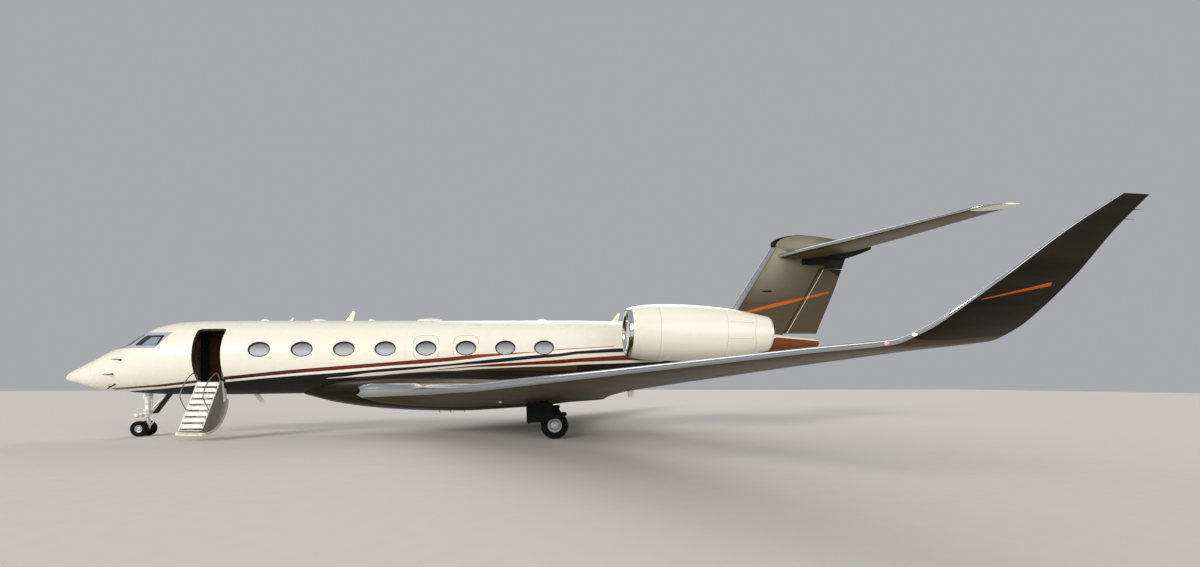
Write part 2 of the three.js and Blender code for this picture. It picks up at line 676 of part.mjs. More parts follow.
const noseBayCutter = () => block([2380, -150, 1300], [2740, 150, NOSE_GEAR.top + 2]);

function buildNoseGear() {
  const { x, strutX, twin, tyre: radius, width, top } = NOSE_GEAR;
  const rim = 125;
  const onAxle = (geometry, across) => geometry.translate(x, across, radius);
  place("nose_tyre_left", onAxle(tyre(radius, width, rim), -twin), "rubber");
  place("nose_tyre_right", onAxle(tyre(radius, width, rim), twin), "rubber");
  place("nose_wheels", onAxle(twinHub({ twin, width, rim, shaft: 38 }), 0), "steel");
  const collar = 740;
  place("nose_leg", join(
    bar([strutX, 0, top - 2], [strutX, 0, collar], 72, 16),
    cut(bar([strutX + 640, 0, 1500], [strutX, 0, collar + 30], 34, 10), hull(1000, 6000, 1)),
  ), "white");
  const fork = join(
    bar([strutX, 0, collar - 8], [strutX, 0, radius + 10], 58, 16),
    bar([strutX + 10, 0, radius], [x, 0, radius], 62, 14),
    bar([x, -74, radius], [x, 74, radius], 70, 18),
    block([x - 110, -40, radius - 40], [x, 40, radius + 40]),
  );
  place("nose_fork", cut(fork, bar([x, -300, radius], [x, 300, radius], 42, 20)), "white");
  const panel = loft([-14, 14].map((offset) => [
    new THREE.Vector3(strutX + 235, -145, 790), new THREE.Vector3(strutX + 235, 145, 790),
    new THREE.Vector3(strutX + 800, 145, 1590), new THREE.Vector3(strutX + 800, -145, 1590),
  ].map((p) => p.add(new THREE.Vector3(offset, 0, 0)))));
  place("nose_gear_door", cut(panel, bar([strutX + 640, 0, 1500], [strutX + 60, 0, collar + 70], 40, 10),
    hull(1000, 5000, 2)), "dark");
}

// Door leaf as it closes the doorway, and the same leaf swung open
function swung(geometry) {
  const { hingeY, hingeZ, swing } = DOOR;
  const turn = (swing * Math.PI) / 180;
  return geometry.translate(0, -hingeY, -hingeZ).rotateX(turn).translate(0, hingeY, hingeZ);
}

function buildAirstair() {
  const leafGrown = (grow) => swung(common(
    cut(hull(COCKPIT_END, 7000, grow), hull(COCKPIT_END - 1, 7001, -WALL - grow)),
    doorwayWedge(DOOR.front, DOOR.back, SEAM - grow),
  ));
  const { hingeY, hingeZ } = DOOR;
  // Gooseneck hinge arms as they stand when the door is shut: pin, knee and foot on the leaf
  const [knee, foot] = [[-1015, 1745], [-1072, 1972]];
  const arms = [DOOR.front + 160, DOOR.back - 160].map((station) => join(
    bar([station - 30, hingeY, hingeZ], [station + 30, hingeY, hingeZ], 28, 12),
    bar([station, hingeY, hingeZ], [station, ...knee], 20, 10),
    bar([station, ...knee], [station, ...foot], 20, 10),
  ));
  place("airstair_door", join(leafGrown(0), ...arms.map(swung)), "ivory");
  // The steps keep within the room that they have once folded: the cabin and the doorway
  const room = swung(join(hull(COCKPIT_END, 7000, -WALL - SEAM), doorwayWedge(DOOR.front, DOOR.back, SEAM)));
  place("airstair_steps", cut(common(steps(), room), leafGrown(1)), "white");
}

// Lower edge of the deep stringers, and the handrail's path, as (y, z) with the door open
const STAIR_WEB = [[-1900, 380], [-1620, 560], [-1350, 860], [-1170, 1200], [-1140, 1480]];
const RAIL = [[-1330, 1830], [-1400, 2090], [-1520, 2200], [-1660, 2140], [-2220, 1530], [-2250, 1440],
  [-2190, 1330], [-1720, 760]];
const RISER = 120;

// Two deep stringers with nine treads and risers between them and a bent handrail on each
function steps() {
  const { count, front, back, topY, topZ, footY, footZ } = STEPS;
  const at = (share) => [topY + share * (footY - topY), topZ + share * (footZ - topZ)];
  const side = (from, to) => {
    const outline = [[topY + 10, topZ + 30], [topY - 70, topZ + 30], [footY - 40, footZ + 40],
      [footY - 40, footZ - 30], [footY + 90, footZ - 30], ...STAIR_WEB, [topY + 60, topZ - 160]];
    return loft([from, to].map((station) => outline.map(([y, z]) => new THREE.Vector3(station, y, z))));
  };
  const treads = Array.from({ length: count }, (_, i) => {
    const [y, z] = at((i + 0.15) / (count - 0.4));
    return join(block([front - 12, y - 120, z - 15], [back + 12, y + 95, z + 15]),
      block([front - 12, y - 120, z - RISER], [back + 12, y - 104, z - 10]));
  });
  const rail = (station) => {
    const path = new THREE.CatmullRomCurve3(RAIL.map(([y, z]) => new THREE.Vector3(station, y, z)));
    const section = new THREE.Shape().absarc(0, 0, 16, 0, 2 * Math.PI);
    return new THREE.ExtrudeGeometry(section, { steps: 18, curveSegments: 4, extrudePath: path });
  };
  return join(side(front - 25, front), side(back, back + 25), ...treads, rail(front - 12), rail(back + 12));
}

buildFuselage();
buildCockpitGlass();
buildCabinWindows();
buildInterior();
buildWings();
buildFin();
buildStabilizer();
buildEngines();
buildMainGear();
buildNoseGear();
buildAirstair();

export default aircraft;
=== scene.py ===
"""Skins, finishes, small fittings and studio of a twin-engine business jet with its airstair open."""

import json
import math

import bmesh
import bpy
import numpy as np
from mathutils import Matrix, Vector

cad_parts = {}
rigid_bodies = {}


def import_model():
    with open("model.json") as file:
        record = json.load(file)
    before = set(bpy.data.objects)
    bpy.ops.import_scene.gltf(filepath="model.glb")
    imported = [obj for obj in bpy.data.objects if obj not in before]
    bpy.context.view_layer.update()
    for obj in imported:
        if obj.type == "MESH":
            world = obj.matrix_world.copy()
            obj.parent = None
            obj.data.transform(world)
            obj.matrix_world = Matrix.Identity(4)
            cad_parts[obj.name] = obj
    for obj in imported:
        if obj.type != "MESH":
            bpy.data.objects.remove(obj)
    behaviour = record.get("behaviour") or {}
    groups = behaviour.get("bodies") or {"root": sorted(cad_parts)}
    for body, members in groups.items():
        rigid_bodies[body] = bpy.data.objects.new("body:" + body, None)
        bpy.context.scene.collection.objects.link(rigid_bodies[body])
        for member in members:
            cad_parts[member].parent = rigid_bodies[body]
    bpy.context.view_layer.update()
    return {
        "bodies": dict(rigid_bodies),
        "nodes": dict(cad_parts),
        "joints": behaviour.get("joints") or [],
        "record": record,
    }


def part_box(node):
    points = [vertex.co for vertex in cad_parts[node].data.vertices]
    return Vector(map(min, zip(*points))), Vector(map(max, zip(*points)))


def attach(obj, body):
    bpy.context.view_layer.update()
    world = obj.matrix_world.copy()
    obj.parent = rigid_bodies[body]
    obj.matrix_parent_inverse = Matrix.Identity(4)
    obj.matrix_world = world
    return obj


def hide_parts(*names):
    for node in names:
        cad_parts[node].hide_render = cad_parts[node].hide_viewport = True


bl_info = {
    "name": "Business jet",
    "version": (1, 0, 0),
    "blender": (4, 5, 0),
    "location": "View3D > Sidebar > Jet",
    "description": "Builds the skins, finishes, small fittings and studio of a twin-engine business jet",
    "category": "Add Mesh",
}

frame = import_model()

# Driving dimensions, in metres. Stations run aft from the nose tip, and level heights are those of
# the airframe before it settles nose-down on its gear.
HALF_LENGTH = 15.205
SIT = 0.014
SIT_STATION = 15.0
WALL = 0.1
AFT_WALL = 0.06
GIRTH = 1.36  # turns an angle round the cabin into a distance along its skin
CUT_GAP = 0.012  # slot between a fixed surface and the flap or blade behind it
RADOME_END = 1.03
COCKPIT_END = 4.4
CABIN_JOINT = 11.65
CABIN_END = 18.0
TAIL_JOINT = 25.5
TAIL_END = 27.45
FLOOR_HEIGHT = 2.075
WINDOW = {"first": 6.878, "pitch": 1.362, "count": 8, "height": 3.112, "wide": 0.711, "tall": 0.521}
DOOR = {"front": 4.78, "back": 5.68, "top": 134, "bottom": 224, "swing": 130, "y": -0.79, "z": 1.65}

# Fuselage lines, level: station, crown, keel, half width
HULL = [
    (0, 2.236, 2.186, 0.025),
    (0.12, 2.425, 2.135, 0.15),
    (0.4, 2.57, 2.06, 0.31),
    (1.03, 2.88, 1.866, 0.61),
    (1.66, 3.21, 1.78, 0.84),
    (2.15, 3.415, 1.722, 0.98),
    (2.7, 3.77, 1.672, 1.105),
    (3.3, 4.055, 1.636, 1.22),
    (3.9, 4.166, 1.618, 1.305),
    (4.75, 4.205, 1.6, 1.36),
    (6.2, 4.22, 1.593, 1.376),
    (17.5, 4.215, 1.593, 1.376),
    (19.0, 4.18, 1.64, 1.35),
    (20.7, 4.12, 1.85, 1.24),
    (22.4, 4.04, 2.2, 1.02),
    (24.0, 3.9, 2.59, 0.74),
    (25.5, 3.7, 2.91, 0.47),
    (26.7, 3.54, 3.08, 0.27),
    (27.45, 3.44, 3.17, 0.13),
]
# Cockpit panes, parked: side as (station, height), front as (distance from the centreline, height)
SIDE_GLASS = [(2.795, 3.117), (3.077, 3.464), (3.794, 3.471), (3.67, 3.117)]
FRONT_GLASS = [(0.045, 3.01), (0.045, 3.57), (0.54, 3.55), (0.746, 3.486), (0.87, 3.145), (0.6, 3.045)]
# Belly fairing, parked: station, keel, half width, flank height
FAIRING = [
    (7.9, 1.44, 0.35, 1.6),
    (9.0, 1.165, 0.9, 1.68),
    (10.41, 0.965, 1.23, 1.8),
    (11.9, 0.865, 1.42, 1.9),
    (13.3, 0.835, 1.48, 1.95),
    (14.8, 0.905, 1.49, 1.95),
    (16.3, 1.01, 1.47, 1.95),
    (17.5, 1.16, 1.38, 1.95),
    (18.7, 1.4, 1.15, 1.93),
    (19.9, 1.69, 0.5, 1.9),
]
# Wing, parked: distance out, leading edge station and height, chord, nose-up degrees, thickness, cant
WING = [
    (1.3, 9.93, 1.6, 8.62, 2.0, 0.105, 0),
    (1.75, 11.05, 1.64, 7.56, 2.0, 0.115, 0),
    (2.5, 12.23, 1.665, 6.42, 1.9, 0.12, 0),
    (5.4, 14.34, 1.735, 4.41, 1.2, 0.1, 0),
    (9.7, 17.465, 2.055, 2.895, 0.2, 0.085, 0),
    (13.2, 20.01, 2.327, 1.66, -0.8, 0.088, 0),
    (14.1, 20.66, 2.382, 1.4, -1.2, 0.092, 0),
]
WINGLET = [
    (14.4, 20.93, 2.54, 1.27, -1, 0.09, 22),
    (14.64, 21.2, 2.79, 1.13, -1, 0.09, 46),
    (14.85, 21.64, 3.17, 0.92, -1, 0.09, 64),
    (15.016, 22.2, 3.63, 0.63, -1, 0.09, 72),
    (15.161, 22.75, 4.01, 0.36, -1, 0.09, 74),
]
FLAP = {"inner": 2.0, "outer": 9.65, "share": 0.76}
AILERON = {"inner": 9.9, "outer": 13.5, "share": 0.74, "hinge": 0.772, "thick": 0.087}
# Fin: height, leading edge station, chord, thickness
FIN = [(3.4, 22.93, 4.3, 0.1), (4.0, 23.32, 4.13, 0.1), (5.6, 24.365, 3.79, 0.1), (7.25, 25.44, 3.33, 0.1)]
RUDDER = {"bottom": 3.86, "top": 6.48, "low": 0.655, "high": 0.715, "hinge": 0.033, "gap": 0.014}
# Bullet on the fin: station, low, high, half width
BULLET = [
    (25.48, 7.33, 7.5, 0.04),
    (25.7, 7.1, 7.64, 0.13),
    (26.1, 6.95, 7.77, 0.21),
    (26.65, 6.88, 7.835, 0.255),
    (27.5, 6.85, 7.79, 0.265),
    (28.3, 6.86, 7.69, 0.24),
    (29.0, 7.04, 7.61, 0.17),
    (29.74, 7.33, 7.52, 0.07),
]
STABILIZER = [
    (0.1, 25.64, 6.915, 3.06, -4.6, 0.1, 0),
    (5.75, 29.13, 7.125, 1.18, -2.6, 0.1, 0),
    (6.0, 29.42, 7.15, 0.96, -2, 0.09, 0),
    (6.2, 29.88, 7.17, 0.53, -1.5, 0.08, 0),
]
ELEVATOR = {"inner": 0.34, "outer": 5.7, "share": 0.7, "hinge": 0.728}
ENGINE = {"lip": 19.17, "y": 2.42, "z": 3.6}
# Nacelle: distance behind the lip, radius
NACELLE_OUTER = [
    (0, 0.75), (0.02, 0.79), (0.15, 0.85), (0.55, 0.93), (1.15, 0.968), (1.9, 0.975),
    (2.65, 0.945), (3.6, 0.86), (4.35, 0.74), (5.06, 0.6),
]
NACELLE_INNER = [
    (0, 0.75), (0.012, 0.71), (0.13, 0.665), (0.5, 0.64), (1.15, 0.65), (3.9, 0.65), (4.5, 0.6),
    (5.08, 0.575),
]
CORE = [
    (1.37, 0.08), (1.45, 0.16), (1.452, 0.636), (1.64, 0.636), (1.66, 0.45), (3.9, 0.45), (4.3, 0.43),
    (4.52, 0.39), (4.64, 0.3), (5.0, 0.17), (5.18, 0.012),
]
PYLON = {"front": 20.7, "chord": 3.5, "rise": -0.04, "thick": 0.085}
SPINNER = [
    (0.72, 0.012), (0.735, 0.05), (0.78, 0.088), (0.86, 0.13), (0.95, 0.163), (1.02, 0.18), (1.15, 0.18),
]
MAIN_GEAR = {"x": 16.75, "y": 2.345, "twin": 0.245, "tyre": 0.455, "width": 0.3, "rim": 0.235}
NOSE_GEAR = {"x": 2.43, "strut": 2.56, "twin": 0.205, "tyre": 0.27, "width": 0.19, "rim": 0.125}
SIDES = {"left": -1, "right": 1}


def radians(degrees):
    """Degrees, alone or in an array, as radians."""
    return np.asarray(degrees, float) * math.pi / 180


def sit(station):
    """How far a station lies above its level height once the airframe is parked."""
    return (station - SIT_STATION) * SIT


def stack(*parts):
    """Coordinates of any shapes that agree, broadcast and stacked as points."""
    return np.stack(np.broadcast_arrays(*parts), -1).astype(float)


def row(station, y, z):
    """A point by its station, or many of them."""
    return stack(np.asarray(station, float) - HALF_LENGTH, y, z)


def circle(count):
    """Angles evenly round a full turn."""
    return np.linspace(0, 2 * math.pi, count, endpoint=False)


def by_column(values):
    """The last axis of an array first, to name its columns."""
    return np.moveaxis(values, -1, 0)


def smooth(table, at):
    """Every column of a table at any place. Between two rows runs a cubic whose slope at each row is
    the harmonic mean of the chords beside it, or zero where they turn, so nothing overshoots."""
    rows = np.asarray(table, float)
    place, value = rows[:, 0], rows[:, 1:]
    step = np.diff(place)[:, None]
    chord = np.diff(value, axis=0) / step
    slope = np.concatenate([chord[:1], np.zeros_like(chord[1:]), chord[-1:]])
    product, total = chord[:-1] * chord[1:], chord[:-1] + chord[1:]
    slope[1:-1] = np.where(product > 0, 2 * product / np.where(total == 0, 1, total), 0)
    at = np.asarray(at, float)
    i = np.clip(np.searchsorted(place, at) - 1, 0, len(place) - 2)
    t = ((at - place[i]) / step[i, 0])[..., None]
    keep, reach = t * t * (3 - 2 * t), step[i]
    bend = t * (1 - t) * ((1 - t) * slope[i] - t * slope[i + 1]) * reach
    return value[i] * (1 - keep) + value[i + 1] * keep + bend


def straight(table, at):
    """Every column of a table at any place, by straight lines between its rows."""
    rows = np.asarray(table, float)
    return np.stack([np.interp(at, rows[:, 0], column) for column in rows[:, 1:].T], -1)


def hull_lines(station):
    """Crown, keel and half width at a station: smooth cubics over the station's square root, in
    which a round nose is a straight line."""
    rows = [(math.sqrt(row[0]), *row[1:]) for row in HULL]
    return by_column(smooth(rows, np.sqrt(station)))


def hull_point(station, angle, grow=0.0):
    """A point of the fuselage: an ellipse through crown, keel and half width, grown all round,
    at an angle from starboard over the top, then settled to its parked height."""
    crown, keel, half = hull_lines(station)
    middle, rise = (crown + keel) / 2, (crown - keel) / 2
    height = middle + (rise + grow) * np.sin(angle)
    return row(station, (half + grow) * np.cos(angle), height + sit(station))


def hull_side(station, height, side, grow=0.0):
    """The point of the fuselage's side at a station and level height: the same ellipse, solved for
    its angle, on the port side for -1 or the starboard side for 1."""
    crown, keel, half = hull_lines(station)
    share = np.clip((height - (crown + keel) / 2) / ((crown - keel) / 2), -1, 1)
    angle = np.arcsin(share)
    return hull_point(station, np.where(side > 0, angle, math.pi - angle), grow)


def rounded(corners, radius, steps=6):
    """A closed outline of (a, b) corners with each corner drawn as an arc of a radius: from each
    corner the curve runs between two points on its sides, along a quadratic through the corner."""
    corner = np.asarray(corners, float)
    side = np.stack([np.roll(corner, 1, 0), np.roll(corner, -1, 0)]) - corner
    run = np.linalg.norm(side, axis=-1, keepdims=True)
    start, end = corner + side / run * np.minimum(radius, run * 0.45)
    t = np.linspace(0, 1, steps)[None, :, None]
    curve = start[:, None] * (1 - t) ** 2 + corner[:, None] * 2 * t * (1 - t) + end[:, None] * t**2
    return curve.reshape(-1, corner.shape[1])


def outline_distance(outline, a, b):
    """Signed distance of points (a, b) from a closed outline, negative inside: the least distance
    to any edge, with its sign from how many edges a line to one side crosses."""
    p, q = np.asarray(outline, float), np.roll(outline, -1, 0)
    nearest, inside = np.full(np.shape(a), np.inf), np.zeros(np.shape(a), bool)
    for (pa, pb), (qa, qb) in zip(p, q):
        da, db = qa - pa, qb - pb
        along = np.clip(((a - pa) * da + (b - pb) * db) / (da**2 + db**2 + 1e-12), 0, 1)
        nearest = np.minimum(nearest, np.hypot(a - pa - along * da, b - pb - along * db))
        crosses = (pb > b) != (qb > b)
        inside ^= crosses & (a < da * (b - pb) / np.where(qb == pb, 1, db) + pa)
    return np.where(inside, -nearest, nearest)


class Form:
    """Points and faces gathered for one piece, from grids, tubes and turned bodies."""

    def __init__(self):
        self.points, self.faces, self.finish, self.place, self.count = [], [], [], [], 0

    def add(self, points, faces, finish=0, place=None):
        """Faces, as rows of point numbers, over points with a two-number place on the surface."""
        points = np.asarray(points, float).reshape(-1, 3)
        place = np.zeros((len(points), 2)) if place is None else np.asarray(place, float).reshape(-1, 2)
        self.points.append(points)
        self.place.append(place)
        for rows in faces:
            self.faces.append(rows + self.count)
            self.finish.append(np.full(len(rows), finish))
        self.count += len(points)
        return self

    def grid(self, points, along=False, caps=False, finish=0, place=None):
        """Quads through rows of points. The columns close on themselves, the rows too when along, and
        caps closes both ends by fans round their middles."""
        rows, columns = points.shape[:2]
        index = np.arange(rows * columns).reshape(rows, columns)
        index = np.concatenate([index, index[:, :1]], 1)
        index = np.concatenate([index, index[:1]], 0) if along else index
        quads = np.stack([index[:-1, :-1], index[1:, :-1], index[1:, 1:], index[:-1, 1:]], -1).reshape(-1, 4)
        faces, flat = [quads], points.reshape(-1, 3)
        if caps:
            flat = np.concatenate([flat, points[[0, -1]].mean(1)])
            for ring, middle in ((index[0][::-1], len(flat) - 2), (index[-1], len(flat) - 1)):
                faces.append(np.stack([ring[:-1], ring[1:], np.full(len(ring) - 1, middle)], -1))
            if place is not None:
                place = np.concatenate([np.reshape(place, (-1, 2)), place[[0, -1]].mean(1)])
        return self.add(flat, faces, finish, place)

    def turned(self, profile, centre, axis, sides=48, finish=0, closed=False):
        """A profile of (along, radius) turned about an axis through a centre, x, y or z."""
        profile = np.asarray(profile, float)
        angle = circle(sides)
        along, radius = profile[:, :1], profile[:, 1:2]
        first, second = radius * np.cos(angle), radius * np.sin(angle)
        order = {"x": (along, first, second), "y": (second, along, first), "z": (first, second, along)}[axis]
        points = stack(*order) + np.asarray(centre, float)
        return self.grid(points, along=closed, caps=not closed, finish=finish)

    def tube(self, path, radius, sides=12, finish=0):
        """A round tube along a path: each ring lies square to the path, turned from one fixed
        direction that the path never follows. The radius may change along it."""
        path = np.asarray(path, float)
        tangent = np.gradient(path, axis=0)
        tangent /= np.linalg.norm(tangent, axis=1, keepdims=True)
        fixed = np.eye(3)[np.argmin(np.abs(tangent).max(0))]
        side = np.cross(tangent, fixed)
        side /= np.linalg.norm(side, axis=1, keepdims=True)
        angle = circle(sides)[None, :, None]
        ring = np.cos(angle) * side[:, None] + np.sin(angle) * np.cross(side, tangent)[:, None]
        radius = np.broadcast_to(np.asarray(radius, float), (len(path),))[:, None, None]
        return self.grid(path[:, None] + ring * radius, caps=True, finish=finish)

    def bar(self, start, end, radius, sides=20, finish=0, ease=0.006):
        """A straight round bar with eased ends."""
        start, end = np.asarray(start, float), np.asarray(end, float)
        length = np.linalg.norm(end - start)
        stops = np.array([0, ease, length - ease, length])[:, None] / length
        eased = np.array([radius - ease, radius, radius, radius - ease])
        return self.tube(start + (end - start) * stops, np.maximum(eased, radius * 0.4), sides, finish)

    def bars(self, origin, table):
        """Round bars from a table whose rows give start, end, radius and what else a bar takes, measured
        from an origin."""
        for start, end, *rest in table:
            self.bar(np.add(origin, start), np.add(origin, end), *rest)
        return self

    def slab(self, outline, push, ease=0.004, finish=0):
        """A plate: a closed outline of points pushed along a vector, its edges eased towards the
        outline's middle."""
        outline, push = np.asarray(outline, float), np.asarray(push, float)
        middle, depth = outline.mean(0), np.linalg.norm(push)
        reach = outline - middle
        far = np.linalg.norm(reach, axis=1, keepdims=True)
        small = middle + reach * np.maximum(far - ease, far * 0.5) / far
        share = min(ease / depth, 0.4)
        rings = [small, outline + push * share, outline + push * (1 - share), small + push]
        return self.grid(np.stack(rings), caps=True, finish=finish)

    def box(self, low, high, radius=0.01, ease=0.004, finish=0):
        """A box between two corners, with rounded upright edges and eased rims."""
        (x0, y0, z0), (x1, y1, z1) = low, high
        loop = rounded([(x0, y0), (x1, y0), (x1, y1), (x0, y1)], radius, 4)
        return self.slab(stack(loop[:, 0], loop[:, 1], z0), (0, 0, z1 - z0), ease, finish)

    def join(self, other, turn=None):
        """Another form's points and faces added to this one, through a function of points if given."""
        points = np.concatenate(other.points)
        kept = [rows + self.count for rows in other.faces]
        self.points.append(points if turn is None else turn(points))
        self.place.append(np.concatenate(other.place))
        self.faces += kept
        self.finish += other.finish
        self.count += len(points)
        return self

    def mirrored(self):
        """The same form on the other side of the centre plane."""
        return Form().join(self, lambda points: points * (1, -1, 1))

    def made(self, name, slot, looks, replaces=(), wall=0.0, crease=35, rim=None, body="airframe"):
        """The piece itself, in finishes named in one line: one mesh with its faces outwards, a wall if
        it has one, sharp creases, riding on its body. A surface that gets a wall already faces
        outwards. The wall's inside takes the last finish, and so does its rim if no other is named by
        number."""
        finishes = materials(looks)
        mesh = bpy.data.meshes.new(name)
        points, finish = np.concatenate(self.points), np.concatenate(self.finish)
        mesh.vertices.add(len(points))
        mesh.vertices.foreach_set("co", points.ravel())
        totals = np.concatenate([np.full(len(rows), rows.shape[1]) for rows in self.faces])
        corners = np.concatenate([rows.ravel() for rows in self.faces])
        mesh.loops.add(len(corners))
        mesh.loops.foreach_set("vertex_index", corners)
        mesh.polygons.add(len(totals))
        mesh.polygons.foreach_set("loop_start", np.concatenate([[0], np.cumsum(totals)[:-1]]))
        mesh.polygons.foreach_set("material_index", finish)
        place = mesh.attributes.new("place", "FLOAT_VECTOR", "POINT")
        flat = np.concatenate(self.place)
        place.data.foreach_set("vector", np.column_stack([flat, np.zeros(len(flat))]).ravel())
        mesh.update(calc_edges=True)
        mesh.validate()
        for material in finishes:
            mesh.materials.append(material)
        tidy = bmesh.new()
        tidy.from_mesh(mesh)
        bmesh.ops.remove_doubles(tidy, verts=tidy.verts, dist=1e-5)
        bmesh.ops.dissolve_degenerate(tidy, edges=tidy.edges, dist=1e-6)
        if not wall:
            bmesh.ops.recalc_face_normals(tidy, faces=tidy.faces)
        tidy.to_mesh(mesh)
        tidy.free()
        piece = bpy.data.objects.new(name, mesh)
        bpy.context.scene.collection.objects.link(piece)
        if wall:
            thicken = piece.modifiers.new("wall", "SOLIDIFY")
            thicken.thickness, thicken.offset = wall, -1
            thicken.material_offset = len(finishes) - 1
            thicken.material_offset_rim = len(finishes) - 1 if rim is None else rim
            live = piece.evaluated_get(bpy.context.evaluated_depsgraph_get())
            solid = bpy.data.meshes.new_from_object(live)
            piece.modifiers.clear()
            piece.data = solid
            solid.name = name
        piece.data.shade_smooth()
        piece.data.set_sharp_from_angle(angle=math.radians(crease))
        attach(piece, body)
        if replaces:
            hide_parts(*replaces)
        return piece


def trimmed(stations, angles, field, inside=False, grow=0.0):
    """A grid of the fuselage surface with the faces on one side of an outline left out, and the
    rim's points drawn onto it. The outline is where field, a function of station and angle that
    gives a signed distance, is zero. Each rim point steps down the field's slope until it is there."""
    station, angle = np.meshgrid(stations, angles, indexing="ij")
    mid_s, mid_a = (stations[:-1] + stations[1:]) / 2, (angles[:-1] + angles[1:]) / 2
    centre = field(*np.meshgrid(mid_s, mid_a, indexing="ij"))
    keep = centre < 0 if inside else centre > 0
    left_out, kept = np.pad(~keep, 1), np.pad(keep, 1)
    rim, other = (mask[:-1, :-1] | mask[1:, :-1] | mask[:-1, 1:] | mask[1:, 1:] for mask in (kept, left_out))
    rim &= other
    s, a = station[rim], angle[rim]
    tiny = 1e-4
    for _ in range(6):
        here = field(s, a)
        down_s = (field(s + tiny, a) - here) / tiny
        down_a = (field(s, a + tiny / GIRTH) - here) / tiny
        step = here / np.maximum(down_s**2 + down_a**2, 1e-6)
        s, a = s - step * down_s, a - step * down_a / GIRTH
    station[rim], angle[rim] = s, a
    rows, columns = station.shape
    index = np.arange(rows * columns).reshape(rows, columns)
    quads = np.stack([index[:-1, :-1], index[:-1, 1:], index[1:, 1:], index[1:, :-1]], -1)[keep]
    used, renumbered = np.unique(quads, return_inverse=True)
    points = hull_point(station, angle, grow).reshape(-1, 3)[used]
    place = np.stack([station.ravel(), angle.ravel()], -1)[used]
    return Form().add(points, [renumbered.reshape(-1, 4)], place=place)


def spread(*stops):
    """Places from stop to stop: each stop is a place and the spacing wanted after it."""
    parts = []
    for (start, gap), (end, _) in zip(stops[:-1], stops[1:]):
        parts.append(np.linspace(start, end, max(int(round((end - start) / gap)), 1), endpoint=False))
    return np.concatenate([*parts, [stops[-1][0]]])


def tint(code):
    """A colour written as six hexadecimal digits, as linear red, green and blue."""
    channels = [((code >> shift) & 255) / 255 for shift in (16, 8, 0)]
    return tuple(c / 12.92 if c <= 0.04045 else ((c + 0.055) / 1.055) ** 2.4 for c in channels)


def arithmetic(operation, reflected=False):
    """An operator between a term and another value, which adds their Math node, swapped if reflected."""
    return lambda term, other: term.math(operation, *((other, term) if reflected else (term, other)))


class Term:
    """A shader's value at every point of a surface, with the arithmetic that the finishes use."""

    def __init__(self, recipe, socket):
        self.recipe, self.socket = recipe, socket

    def math(self, operation, *values, clamp=False):
        settings = {"operation": operation, "use_clamp": clamp}
        return self.recipe.node("ShaderNodeMath", settings, dict(enumerate(values)))

    __add__ = __radd__ = arithmetic("ADD")
    __sub__, __rsub__ = arithmetic("SUBTRACT"), arithmetic("SUBTRACT", reflected=True)
    __mul__ = __rmul__ = arithmetic("MULTIPLY")
    __truediv__ = arithmetic("DIVIDE")
    __lt__, __gt__ = arithmetic("LESS_THAN"), arithmetic("GREATER_THAN")

    def __abs__(self):
        return self.math("ABSOLUTE", self)

    def between(self, low, high):
        """One where the value lies between two others, else nothing."""
        return (self > low) * (self < high)

    def over(self, low, high):
        """The value's way from low to high, held between nothing and one."""
        return self.math("DIVIDE", self - low, high - low, clamp=True)


